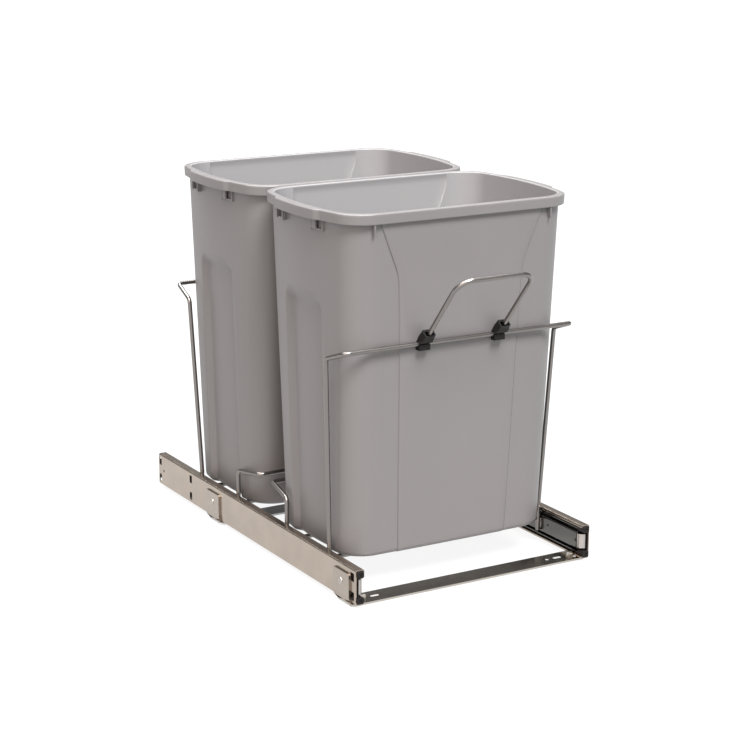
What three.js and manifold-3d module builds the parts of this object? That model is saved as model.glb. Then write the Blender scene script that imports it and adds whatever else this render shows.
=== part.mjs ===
// Pull-out twin waste bin unit: a wire carriage on two full-extension ball slides.
// Millimetres. X runs across the unit, -Y is the front it pulls out of, Z is up.
import * as THREE from 'three';
import { mergeVertices } from 'three/addons/utils/BufferGeometryUtils.js';
import Module from 'manifold-3d';

const wasm = await Module();
wasm.setup();

// ---------------------------------------------------------------- driving dimensions

const GAP = 0.3; // working gap between pieces that touch

// slides
const SLIDE_LENGTH = 570;
const SLIDE_HEIGHT = 45.7;
const SLIDE_DEPTH = 12.7; // across the three closed members
const SLIDE_SPREAD = 354; // over the outer faces of both slides
const SLIDE_SEAT = 1.5; // from the cross bars up to the slides
const SLIDE_CORNER = 2; // rounding of the outer member
const OUTER_SHEET = 1.3;
const MID_SHEET = 1.2;
const INNER_SHEET = 1.2;
const CAGE_SHEET = 0.5;
const OUTER_LIP = 3.2; // turned-in edge of the outer member
const OUTER_BALL = 4; // diameter, between outer and middle member
const INNER_BALL = 3.2; // diameter, between middle and inner member
const BALL_PLAY = 0.32; // each side of a ball
const BALLS_PER_ROW = 6;
const CAGE_LENGTH = 240;
const CAGE_EDGE = 8; // from a cage's end to its last ball
const CAGE_STRIP = 6.4; // width of the strip that holds a row of balls
const MID_FRONT_SETBACK = 10;
const MID_REAR_SETBACK = 4;
const INNER_FRONT_SETBACK = 1.5;
const INNER_REAR_SETBACK = 6;
const END_TAB_RADIUS = 7.8; // curl of the inner member's front tab
const END_TAB_HEIGHT = 19.2;
const BUMPER_PROUD = 2; // bumper ahead of the outer member
const BUMPER_DIMPLE = 2.1; // radius of the round detail on its face
const BUFFER_LENGTH = 3.4;
const BUFFER_HEIGHT = 30;

// slots and holes of the slide members
const FRONT_SLOT_WIDTH = 9;
const SLOT_WIDTH = 7.3;
const SLOT_HEIGHT = 11;
const SLOT_RISE = 12.4; // from the slide's middle line
const FRONT_SLOT_INSET = 8.2; // slot middle from the front end
const REAR_SLOT_INSET = 5.3;
const MID_SLOT_INSET = 106.2;
const SMALL_HOLE = 1.9; // radius
const SMALL_HOLE_INSET = 16.6;
const INNER_HOLE_INSET = 12.8;
const DIMPLE_INSET = 74.5;
const DIMPLE_RADIUS = 3;
const DIMPLE_HEIGHT = 0.7;

// cross bars
const BAR_SHEET = 2.5;
const BAR_WIDTH = 32;
const BAR_FRONT_INSET = 7.5; // front bar behind the slides' front ends
const BAR_REAR_Y = 81; // front edge of the rear bar
const TAB_HEIGHT = 41;
const TAB_WIDTH = 40;
const TAB_SETBACK = 5.5; // tab behind the bar's front edge
const TAB_LEAN = 3; // foot of the tab's front edge ahead of its head
const TAB_HEEL = 9; // height of the slanted rear foot
const TAB_CORNER = 3;
const BEND_CHAMFER = 1.2;
const LIP_WIDTH = 10;
const LIP_RISE = 8;
const LIP_Y = 8.5; // from the bar's front edge
const BAR_HOLE = 2.3; // radius
const SLOT_LONG = 12;
const LEFT_HOLE_INSET = 26; // hole middle from the left slide's outer face
const LEFT_SLOT_INSET = 41;
const RIGHT_HOLE_INSET = 50; // hole middle from the right slide's outer face
const RIGHT_SLOT_INSET = 34;
const END_HOLE_INSET = 11; // hole below each slide, from its outer face
const END_HOLE_Y = 9; // from the bar's front edge
const BAR_CORNER = 6;

// rivets
const RIVET_HEAD = 4.4; // radius
const RIVET_CROWN = 1.5;
const RIVET_SHANK = 2.3; // radius
const RIVET_HEIGHT = 27.3; // above the floor

// wire carriage
const WIRE = 6; // diameter
const BEND = 8; // centre-line radius
const CARRIAGE_MID_Y = -8.6;
const LEG_OFFSET = 182.7; // legs of the tall hoops from the carriage's middle
const LEG_FOOT_Z = 17;
const LEG_KNEE_Z = 51;
const TALL_RUN_Z = 312.6;
const TALL_LEG_Z = 298;
const TALL_LEAN_X = 10.5; // the leg's lean to the side
const TALL_LEAN_Y = 9.8; // the leg's lean to the front or rear
const TALL_TUCK = 3; // the run's corner inside the leg's top
const RUN_CLEARANCE = 1.7; // bin face to wire
const SHORT_RUN_Z = 89;
const SHORT_LEG_Z = 82;
const SHORT_TUCK = 6;
const SHORT_LEG_OFFSET = 70; // legs of the short hoops from the carriage's middle
const REAR_ROD_SHIFT = 26; // bin rods ahead of the hoops' rear legs

// bins
const BIN_PITCH = 243.4; // middle to middle
const BIN_FLOOR_Z = 38;
const BIN_HEIGHT = 443.5;
const BIN_WALL = 2.5;
const BIN_INSET_X = 6.5; // a short side's middle, at the top of the wall, inside the slide's face
const BIN_HALF_Y = 113.4; // middle of a long side, at the top of the wall
const BIN_BOW_X = 16.5; // bulge of the short sides
const BIN_BOW_Y = 2; // bulge of the long sides
const BIN_CORNER = 30;
const BIN_TAPER_X = 0.031;
const BIN_TAPER_Y = 0.039;
const FLOOR_FILLET = 7;
const RIM_OVERHANG = 6;
const RIM_SKIRT = 13.4;
const RIM_SHEET = 2.2;
const RIM_ROUND = 1.6;
const GRIP_STEP = 4.5; // the rim's middle on the short sides stands out
const GRIP_HALF = 48.5;
const GRIP_RAMP = 9;
const RECESS_TOP = 333; // above the bin's floor
const RECESS_RAMP = 20;
const RECESS_DEPTH = 7;
const RECESS_HALF = 46;
const RECESS_SIDE = 10; // sloping edge of the recess
const PANEL_RISE = 1.2;
const PANEL_EDGE = 1.6;
const PANEL_LINE = [
  // height above the bin's floor, half width of the long sides' panel
  [8, 80],
  [33, 81],
  [312, 87.5],
  [333, 89],
  [366, 94],
  [417, 122],
  [430, 124],
];
const GUSSET_INSET = 41.5; // ribs below the long sides' rim, from the short side's middle
const POCKET_Y = 46; // middle of the U-shaped catches below the rim of the short sides
const POCKET_WIDE = 22;
const POCKET_DEEP = 5.4; // out from the wall
const POCKET_SILL = 2.2; // outer rib of the half-covered catches, out from the wall
const COVER_OUT = 5.1; // plate over the inner half of two catches, out from the wall
const COVER_DROP = 1; // the plate's top below the ribs' top
const GUSSET_THICK = 2.2;
const GUSSET_DROP = 14;

// handle and its clips
const HANDLE_LEAN = 49.8; // degrees above the horizontal, towards the front
const HANDLE_REACH = 121.6; // hoop wire to the middle of the grip
const HANDLE_SPREAD = 111.3; // between the two legs
const HANDLE_BEND = 21.2;
const HANDLE_LIFT = -1; // handle wire behind the line through the hoop wire's middle
const HANDLE_MID_X = -1.5; // handle's middle, a little to the left of the unit's
const HANDLE_SEAT = 9; // end of the leg from the hoop wire
const CLIP_WIDTH = 15.5;
const CLIP_LENGTH = 21.5;
const CLIP_FRONT = 4.2; // clip ahead of the handle wire's middle
const CLIP_BACK = 6.5;
const CLIP_MOUTH = 11.2; // width of the socket's open end
const CLIP_MOUTH_DEPTH = 6;
const CLIP_NECK = 4.2; // the clip behind the hoop wire's middle, clear of the bin
const JAW_DEPTH = 8; // bottom of the jaw below the hoop wire's middle
const JAW_FRONT = 5;
const JAW_PART = 1.8; // back of the jaw below the hoop wire's middle

// facets
const WIRE_SIDES = 8;
const BEND_STEPS = 4;
const GRIP_STEPS = 8;
const CORNER_STEPS = 4;
const HOLE_SIDES = 10;

// ---------------------------------------------------------------- derived positions

const SLIDE_Z = BAR_SHEET + SLIDE_SEAT;
const SLIDE_MID_Z = SLIDE_Z + SLIDE_HEIGHT / 2;
const HALF_LENGTH = SLIDE_LENGTH / 2;
const HALF_SPREAD = SLIDE_SPREAD / 2;
const HALF_HEIGHT = SLIDE_HEIGHT / 2;
const INNER_FACE_X = HALF_SPREAD - SLIDE_DEPTH;
const LEG_X = INNER_FACE_X - WIRE / 2 - GAP;
const ROD_Z = BIN_FLOOR_Z - WIRE / 2 - GAP;
const BIN_HALF_X = HALF_SPREAD - BIN_INSET_X;
const GUSSET_X = BIN_HALF_X - GUSSET_INSET;

const BIN_Y = { front: CARRIAGE_MID_Y - BIN_PITCH / 2, rear: CARRIAGE_MID_Y + BIN_PITCH / 2 };
const RIM_TOP_Z = BIN_FLOOR_Z + BIN_HEIGHT;

// levels of the slide's rows of balls and flanges, from its middle line
const OUTER_INSIDE = HALF_HEIGHT - OUTER_SHEET;
const OUTER_ROW = OUTER_INSIDE - BALL_PLAY - OUTER_BALL / 2;
const MID_OUTSIDE = OUTER_ROW - OUTER_BALL / 2 - BALL_PLAY;
const MID_INSIDE = MID_OUTSIDE - MID_SHEET;
const INNER_ROW = MID_INSIDE - BALL_PLAY - INNER_BALL / 2;
const INNER_OUTSIDE = INNER_ROW - INNER_BALL / 2 - BALL_PLAY;

// depths of the slide's webs, from its outer face
const OUTER_CAGE_WEB = OUTER_SHEET + GAP;
const MID_WEB = OUTER_CAGE_WEB + CAGE_SHEET + GAP;
const INNER_CAGE_WEB = MID_WEB + MID_SHEET + GAP;
const INNER_FLANGE = INNER_CAGE_WEB + CAGE_SHEET + 3 * GAP;
const INNER_WEB = SLIDE_DEPTH - INNER_SHEET;
const MID_FLANGE_END = SLIDE_DEPTH - OUTER_SHEET - GAP;
const BALL_DEPTH = (MID_WEB + MID_FLANGE_END) / 2;

// ---------------------------------------------------------------- materials

const finish = (color, roughness, metalness) =>
  new THREE.MeshStandardMaterial({ color, roughness, metalness });
const ZINC = finish(0xb9b0a4, 0.42, 0.9);
const BRIGHT = finish(0xc4c2bd, 0.3, 0.9);
const NICKEL = finish(0xa8a5a2, 0.35, 1);
const PLASTIC = finish(0x9c9896, 0.6, 0);
const BLACK = finish(0x1b1918, 0.55, 0);

// ---------------------------------------------------------------- solids

const root = new THREE.Group();

function closed(positions, triangles) {
  let volume = 0;
  const a = new THREE.Vector3();
  const b = new THREE.Vector3();
  const c = new THREE.Vector3();
  for (const [i, j, k] of triangles) {
    a.fromArray(positions[i]);
    b.fromArray(positions[j]);
    c.fromArray(positions[k]);
    volume += a.dot(b.cross(c));
  }
  const order = volume < 0 ? ([i, j, k]) => [i, k, j] : (t) => t;
  const geometry = new THREE.BufferGeometry();
  geometry.setAttribute('position', new THREE.Float32BufferAttribute(positions.flat(), 3));
  geometry.setIndex(triangles.flatMap(order));
  return geometry;
}

function solid(geometry) {
  const bare = geometry.clone();
  bare.deleteAttribute('normal');
  bare.deleteAttribute('uv');
  const merged = mergeVertices(bare, 1e-4);
  const vertProperties = new Float32Array(merged.attributes.position.array);
  const triVerts = new Uint32Array(merged.index.array);
  return new wasm.Manifold(new wasm.Mesh({ numProp: 3, vertProperties, triVerts }));
}

function geometryOf(manifold) {
  const mesh = manifold.getMesh();
  const geometry = new THREE.BufferGeometry();
  geometry.setAttribute('position', new THREE.BufferAttribute(mesh.vertProperties, 3));
  geometry.setIndex(new THREE.BufferAttribute(mesh.triVerts, 1));
  return geometry;
}

function add(name, shape, material) {
  const geometry = shape.isBufferGeometry ? shape : geometryOf(shape);
  geometry.computeVertexNormals();
  const mesh = new THREE.Mesh(geometry, material);
  mesh.name = name;
  root.add(mesh);
  return mesh;
}

const union = (parts) => parts.reduce((whole, part) => whole.add(part));
const cut = (body, tools) => tools.reduce((left, tool) => left.subtract(tool), body);

function box(x, y, z) {
  const geometry = new THREE.BoxGeometry(x[1] - x[0], y[1] - y[0], z[1] - z[0]);
  geometry.translate((x[0] + x[1]) / 2, (y[0] + y[1]) / 2, (z[0] + z[1]) / 2);
  return solid(geometry);
}

// A round bar about `centre`, along 'x', 'y' or 'z'.
function round(radius, length, centre, axis, sides = HOLE_SIDES) {
  const geometry = new THREE.CylinderGeometry(radius, radius, length, sides);
  if (axis === 'x') geometry.rotateZ(Math.PI / 2);
  if (axis === 'z') geometry.rotateX(Math.PI / 2);
  geometry.translate(...centre);
  return solid(geometry);
}

// An outline of [x, z] points drawn out along Y.
function alongY(outline, y0, y1) {
  const shape = new THREE.Shape(outline.map(([x, z]) => new THREE.Vector2(x, z)));
  const geometry = new THREE.ExtrudeGeometry(shape, { depth: y1 - y0, bevelEnabled: false });
  geometry.rotateX(Math.PI / 2);
  geometry.translate(0, y1, 0);
  return solid(geometry);
}

// An outline of [y, z] points drawn out along X.
function alongX(outline, x0, x1) {
  const shape = new THREE.Shape(outline.map(([y, z]) => new THREE.Vector2(y, z)));
  const geometry = new THREE.ExtrudeGeometry(shape, { depth: x1 - x0, bevelEnabled: false });
  geometry.rotateX(Math.PI / 2);
  geometry.rotateZ(Math.PI / 2);
  geometry.translate(x0, 0, 0);
  return solid(geometry);
}

// An outline of [x, y] points drawn out along Z.
function alongZ(outline, z0, z1) {
  const shape = new THREE.Shape(outline.map(([x, y]) => new THREE.Vector2(x, y)));
  const geometry = new THREE.ExtrudeGeometry(shape, { depth: z1 - z0, bevelEnabled: false });
  geometry.translate(0, 0, z0);
  return solid(geometry);
}

// A strip of sheet: the outline around a centre line of 2-D points.
function sheet(line, thickness) {
  const points = line.map((p) => new THREE.Vector2(...p));
  const side = (sign) =>
    points.map((p, i) => {
      const back = points[Math.max(i - 1, 0)];
      const next = points[Math.min(i + 1, points.length - 1)];
      const arriving = (i > 0 ? p.clone().sub(back) : next.clone().sub(p)).normalize();
      const leaving = (next !== p ? next.clone().sub(p) : p.clone().sub(back)).normalize();
      const bisector = arriving.clone().add(leaving).normalize();
      const reach = (sign * thickness) / 2 / bisector.dot(arriving);
      return [p.x - bisector.y * reach, p.y + bisector.x * reach];
    });
  return [...side(1), ...side(-1).reverse()];
}

// A skin over rings of equally many points, with a flat cap at each end.
function skin(rings) {
  const count = rings[0].length;
  const positions = rings.flat();
  const triangles = [];
  for (let r = 0; r + 1 < rings.length; r += 1) {
    for (let i = 0; i < count; i += 1) {
      const j = (i + 1) % count;
      const [a, b] = [r * count + i, r * count + j];
      triangles.push([a, b, b + count], [a, b + count, a + count]);
    }
  }
  const cap = (start, flip) => {
    const centre = [0, 1, 2].map(
      (k) => positions.slice(start, start + count).reduce((sum, p) => sum + p[k], 0) / count,
    );
    const middle = positions.push(centre) - 1;
    for (let i = 0; i < count; i += 1) {
      const edge = [start + i, start + ((i + 1) % count)];
      triangles.push(flip ? [middle, edge[1], edge[0]] : [middle, edge[0], edge[1]]);
    }
  };
  const last = (rings.length - 1) * count;
  cap(0, true);
  cap(last, false);
  return closed(positions, triangles);
}

// The centre line of a wire through `corners`, each inner one bent to `bend`.
function bentLine(corners, bend, steps) {
  const points = corners.map((p) => new THREE.Vector3(...p));
  const line = [points[0]];
  for (let i = 1; i + 1 < points.length; i += 1) {
    const inward = points[i - 1].clone().sub(points[i]);
    const outward = points[i + 1].clone().sub(points[i]);
    const [inLength, outLength] = [inward.length(), outward.length()];
    inward.normalize();
    outward.normalize();
    const half = inward.angleTo(outward) / 2;
    const room = Math.min(i === 1 ? inLength : inLength / 2, outLength / 2) * 0.96;
    const setback = Math.min(bend / Math.tan(half), room);
    const radius = setback * Math.tan(half);
    const centre = inward.clone().add(outward).normalize();
    centre.multiplyScalar(radius / Math.sin(half)).add(points[i]);
    const from = points[i].clone().addScaledVector(inward, setback).sub(centre);
    const to = points[i].clone().addScaledVector(outward, setback).sub(centre);
    const turn = from.angleTo(to);
    for (let s = 0; s <= steps; s += 1) {
      const t = s / steps;
      const spot = from.clone().multiplyScalar(Math.sin((1 - t) * turn) / Math.sin(turn));
      spot.addScaledVector(to, Math.sin(t * turn) / Math.sin(turn));
      line.push(spot.add(centre));
    }
  }
  line.push(points[points.length - 1]);
  return line;
}

// A round wire along a centre line; its section never twists.
function wire(line, diameter, sides = WIRE_SIDES) {
  const tangents = line.map((p, i) => {
    const back = line[Math.max(i - 1, 0)];
    const next = line[Math.min(i + 1, line.length - 1)];
    return next.clone().sub(back).normalize();
  });
  const lead = Math.abs(tangents[0].x) < 0.9 ? new THREE.Vector3(1, 0, 0) : new THREE.Vector3(0, 0, 1);
  let u = lead.addScaledVector(tangents[0], -lead.dot(tangents[0])).normalize();
  const rings = line.map((p, i) => {
    if (i > 0) {
      const swing = new THREE.Quaternion().setFromUnitVectors(tangents[i - 1], tangents[i]);
      u = u.clone().applyQuaternion(swing);
    }
    const v = tangents[i].clone().cross(u);
    return Array.from({ length: sides }, (_, k) => {
      const angle = (2 * Math.PI * (k + 0.5)) / sides;
      const spot = p.clone().addScaledVector(u, (Math.cos(angle) * diameter) / 2);
      return spot.addScaledVector(v, (Math.sin(angle) * diameter) / 2).toArray();
    });
  });
  return skin(rings);
}

// ---------------------------------------------------------------- slides

// Turns [depth, rise] of a slide's section into [x, z] on one side of the unit.
const onSide = (side, section) =>
  section.map(([depth, rise]) => [side * (HALF_SPREAD - depth), SLIDE_MID_Z + rise]);

// A section given for its upper half, mirrored below the slide's middle line.
const mirrored = (half) => [...half, ...half.map(([d, h]) => [d, -h]).reverse()];

function slot(side, y, width, rise) {
  const x = side * (HALF_SPREAD - OUTER_SHEET / 2);
  const z = SLIDE_MID_Z + rise;
  return box(
    [x - OUTER_SHEET, x + OUTER_SHEET],
    [y - width / 2, y + width / 2],
    [z - SLOT_HEIGHT / 2, z + SLOT_HEIGHT / 2],
  );
}

const TABS_Y = {
  front: -HALF_LENGTH + BAR_FRONT_INSET + TAB_SETBACK,
  rear: BAR_REAR_Y + TAB_SETBACK,
};
const rivetY = (place) => TABS_Y[place] + TAB_WIDTH / 2;

function outerMember(side) {
  const t = OUTER_SHEET / 2;
  const section = sheet(
    mirrored([
      [SLIDE_DEPTH - t, HALF_HEIGHT - OUTER_LIP],
      [SLIDE_DEPTH - t, HALF_HEIGHT - t - SLIDE_CORNER * 0.6],
      [SLIDE_DEPTH - t - SLIDE_CORNER * 0.6, HALF_HEIGHT - t],
      [t + SLIDE_CORNER, HALF_HEIGHT - t],
      [t + SLIDE_CORNER * 0.3, HALF_HEIGHT - t - SLIDE_CORNER * 0.3],
      [t, HALF_HEIGHT - t - SLIDE_CORNER],
    ]),
    OUTER_SHEET,
  );
  const body = alongY(onSide(side, section), -HALF_LENGTH, HALF_LENGTH);
  const slots = [
    [-HALF_LENGTH + FRONT_SLOT_INSET, FRONT_SLOT_WIDTH],
    [HALF_LENGTH - MID_SLOT_INSET, SLOT_WIDTH],
    [HALF_LENGTH - REAR_SLOT_INSET, SLOT_WIDTH],
  ].flatMap(([y, width]) => [1, -1].map((sign) => slot(side, y, width, sign * SLOT_RISE)));
  const through = 4 * OUTER_SHEET;
  const x = side * HALF_SPREAD;
  const hole = round(SMALL_HOLE, through, [x, HALF_LENGTH - SMALL_HOLE_INSET, SLIDE_MID_Z], 'x');
  const rivets = ['front', 'rear'].map((place) =>
    round(RIVET_SHANK + GAP, through, [x, rivetY(place), RIVET_HEIGHT], 'x'),
  );
  return cut(body, [...slots, hole, ...rivets]);
}

const MID_START = -HALF_LENGTH + MID_FRONT_SETBACK;
const MID_END = HALF_LENGTH - MID_REAR_SETBACK;

function midMember(side) {
  const t = MID_SHEET / 2;
  const section = sheet(
    mirrored([
      [MID_FLANGE_END, MID_OUTSIDE - t],
      [MID_WEB + t + SLIDE_CORNER * 0.8, MID_OUTSIDE - t],
      [MID_WEB + t, MID_OUTSIDE - t - SLIDE_CORNER * 0.8],
    ]),
    MID_SHEET,
  );
  return alongY(onSide(side, section), MID_START, MID_END);
}

const INNER_START = -HALF_LENGTH + INNER_FRONT_SETBACK;
const INNER_END = HALF_LENGTH - INNER_REAR_SETBACK;

function innerMember(side) {
  const t = INNER_SHEET / 2;
  const section = sheet(
    mirrored([
      [INNER_FLANGE, INNER_OUTSIDE - t],
      [SLIDE_DEPTH - t - SLIDE_CORNER * 0.6, INNER_OUTSIDE - t],
      [SLIDE_DEPTH - t, INNER_OUTSIDE - t - SLIDE_CORNER * 0.6],
    ]),
    INNER_SHEET,
  );
  const curl = END_TAB_RADIUS - t;
  const bodyStart = INNER_START + END_TAB_RADIUS;
  const arc = Array.from({ length: 6 }, (_, k) => {
    const angle = (k / 5) * (Math.PI / 2);
    const depth = SLIDE_DEPTH - t - curl * (1 - Math.cos(angle));
    return [side * (HALF_SPREAD - depth), bodyStart - curl * Math.sin(angle)];
  });
  const heel = [side * (HALF_SPREAD - SLIDE_DEPTH + t), bodyStart + INNER_SHEET];
  const tab = alongZ(
    sheet([heel, ...arc], INNER_SHEET),
    SLIDE_MID_Z - END_TAB_HEIGHT / 2,
    SLIDE_MID_Z + END_TAB_HEIGHT / 2,
  );
  const face = side * INNER_FACE_X;
  const hole = round(
    SMALL_HOLE,
    4 * INNER_SHEET,
    [side * (HALF_SPREAD - INNER_WEB), -HALF_LENGTH + INNER_HOLE_INSET, SLIDE_MID_Z],
    'x',
  );
  const dimple = round(
    DIMPLE_RADIUS,
    2 * DIMPLE_HEIGHT,
    [face, -HALF_LENGTH + DIMPLE_INSET, SLIDE_MID_Z],
    'x',
  );
  const body = alongY(onSide(side, section), bodyStart, INNER_END);
  return union([body, tab, dimple]).subtract(hole);
}

// A ball cage: a thin channel with a row of balls held in each of its strips.
function cage(side, web, row, ball) {
  const corner = ball * 0.45;
  const start = BALL_DEPTH - CAGE_STRIP / 2;
  const channel = sheet(
    mirrored([
      [BALL_DEPTH + CAGE_STRIP / 2, row],
      [Math.max(start, web + CAGE_SHEET / 2 + corner), row],
      [web + CAGE_SHEET / 2, row - corner],
    ]),
    CAGE_SHEET,
  );
  const body = alongY(onSide(side, channel), -CAGE_LENGTH / 2, CAGE_LENGTH / 2);
  const pitch = (CAGE_LENGTH - 2 * CAGE_EDGE) / (BALLS_PER_ROW - 1);
  const balls = [row, -row].flatMap((rise) =>
    Array.from({ length: BALLS_PER_ROW }, (_, k) => {
      const geometry = new THREE.SphereGeometry(ball / 2, 6, 4);
      const x = side * (HALF_SPREAD - BALL_DEPTH);
      geometry.translate(x, -CAGE_LENGTH / 2 + CAGE_EDGE + k * pitch, SLIDE_MID_Z + rise);
      return solid(geometry);
    }),
  );
  return union([body, ...balls]);
}

// The moulded end stop on the middle member: two lumps joined by a thin web.
function bumper(side) {
  const low = INNER_OUTSIDE + 2 * GAP;
  const high = OUTER_INSIDE - GAP;
  const near = OUTER_SHEET + GAP;
  const far = MID_FLANGE_END;
  const c = (high - low) * 0.25;
  const lump = [
    [far, low + c],
    [far, high - c],
    [far - c, high],
    [near + c, high],
    [near, high - c],
    [near, low],
    [far - c, low],
  ];
  const front = -HALF_LENGTH - BUMPER_PROUD;
  const back = MID_START - GAP;
  const web = [
    [MID_WEB, -low - 1],
    [MID_WEB + MID_SHEET, -low - 1],
    [MID_WEB + MID_SHEET, low + 1],
    [MID_WEB, low + 1],
  ];
  const lower = lump.map(([d, h]) => [d, -h]);
  const body = union([lump, lower, web].map((part) => alongY(onSide(side, part), front, back)));
  const x = side * (HALF_SPREAD - (near + far) / 2);
  const dimples = [1, -1].map((sign) =>
    round(BUMPER_DIMPLE, 2, [x, front, SLIDE_MID_Z + (sign * (low + high)) / 2], 'y', 12),
  );
  return cut(body, dimples);
}

function rearBuffer(side) {
  const half = BUFFER_HEIGHT / 2;
  const near = OUTER_SHEET + GAP;
  const section = [
    [near, -half],
    [MID_FLANGE_END - 1, -half + 1],
    [MID_FLANGE_END, -half + 2],
    [MID_FLANGE_END, half - 2],
    [MID_FLANGE_END - 1, half - 1],
    [near, half],
  ];
  return alongY(onSide(side, section), MID_END + GAP, MID_END + GAP + BUFFER_LENGTH);
}

// ---------------------------------------------------------------- cross bars

function crossBar(y) {
  const end = HALF_SPREAD;
  const c = BAR_CORNER;
  const plan = [
    [-end, y + c / 2],
    [-end + c / 2, y],
    [end - c / 2, y],
    [end, y + c / 2],
    [end, y + BAR_WIDTH],
    [-end, y + BAR_WIDTH],
  ];
  const flat = alongZ(plan, 0, BAR_SHEET);
  const head = y + TAB_SETBACK;
  const foot = head - TAB_LEAN;
  const back = head + TAB_WIDTH;
  const r = TAB_CORNER;
  const profile = [
    [foot, 0],
    [y + BAR_WIDTH, 0],
    [back - r, TAB_HEEL - r],
    [back, TAB_HEEL],
    [back, TAB_HEIGHT - r],
    [back - r * 0.3, TAB_HEIGHT - r * 0.3],
    [back - r, TAB_HEIGHT],
    [head + r, TAB_HEIGHT],
    [head + r * 0.3, TAB_HEIGHT - r * 0.3],
    [head, TAB_HEIGHT - r],
  ];
  const sides = [-1, 1].map((side) => {
    const faces = [side * end, side * (end + BAR_SHEET)].sort((p, q) => p - q);
    const tab = alongX(profile, ...faces);
    const edge = side * (end + BAR_SHEET);
    const bevel = alongY(
      [
        [edge + side, -1],
        [edge + side, BEND_CHAMFER + 1],
        [edge - side * (BEND_CHAMFER + 2), -1],
      ],
      y - 1,
      back + 1,
    );
    const rivetHole = round(
      RIVET_SHANK + GAP,
      4 * BAR_SHEET,
      [edge, head + TAB_WIDTH / 2, RIVET_HEIGHT],
      'x',
    );
    return cut(tab, [bevel, rivetHole]);
  });
  const lips = [-1, 1].map((side) => {
    const near = side * (INNER_FACE_X - 4 * GAP);
    const x = [near, near - side * LIP_WIDTH].sort((p, q) => p - q);
    const front = y + LIP_Y;
    return box(x, [front, front + BAR_SHEET], [BAR_SHEET / 2, BAR_SHEET + LIP_RISE]);
  });
  const hole = (x, dy) => round(BAR_HOLE, 4 * BAR_SHEET, [x, y + dy, BAR_SHEET / 2], 'z');
  const long = (x) => {
    const half = SLOT_LONG / 2 - BAR_HOLE;
    const middle = BAR_WIDTH / 2;
    return union([
      hole(x - half, middle),
      hole(x + half, middle),
      box(
        [x - half, x + half],
        [y + middle - BAR_HOLE, y + middle + BAR_HOLE],
        [-BAR_SHEET, 2 * BAR_SHEET],
      ),
    ]);
  };
  const holes = [
    hole(LEFT_HOLE_INSET - end, BAR_WIDTH / 2),
    hole(end - RIGHT_HOLE_INSET, BAR_WIDTH / 2),
    hole(end - END_HOLE_INSET, END_HOLE_Y),
    hole(END_HOLE_INSET - end, END_HOLE_Y),
    long(LEFT_SLOT_INSET - end),
    long(end - RIGHT_SLOT_INSET),
  ];
  return cut(union([flat, ...sides, ...lips]), holes);
}

// A domed rivet through a tab and the outer member, flush inside.
function rivet(side, place) {
  const face = HALF_SPREAD + BAR_SHEET;
  const head = new THREE.LatheGeometry(
    [
      new THREE.Vector2(0, OUTER_SHEET - face + HALF_SPREAD - OUTER_SHEET * 2),
      new THREE.Vector2(RIVET_SHANK, OUTER_SHEET - face + HALF_SPREAD - OUTER_SHEET * 2),
      new THREE.Vector2(RIVET_SHANK, 0),
      new THREE.Vector2(RIVET_HEAD, 0),
      new THREE.Vector2(RIVET_HEAD * 0.9, RIVET_CROWN * 0.55),
      new THREE.Vector2(RIVET_HEAD * 0.5, RIVET_CROWN),
      new THREE.Vector2(0, RIVET_CROWN),
    ],
    12,
  );
  head.rotateZ((-side * Math.PI) / 2);
  head.translate(side * face, rivetY(place), RIVET_HEIGHT);
  return solid(head);
}

// ---------------------------------------------------------------- bins

function panelHalf(height) {
  const last = PANEL_LINE.length - 1;
  if (height <= PANEL_LINE[0][0]) return PANEL_LINE[0][1];
  if (height >= PANEL_LINE[last][0]) return PANEL_LINE[last][1];
  const i = PANEL_LINE.findIndex(([h]) => h > height);
  const [h0, w0] = PANEL_LINE[i - 1];
  const [h1, w1] = PANEL_LINE[i];
  return w0 + ((w1 - w0) * (height - h0)) / (h1 - h0);
}

const clamp01 = (value) => Math.min(1, Math.max(0, value));

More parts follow.
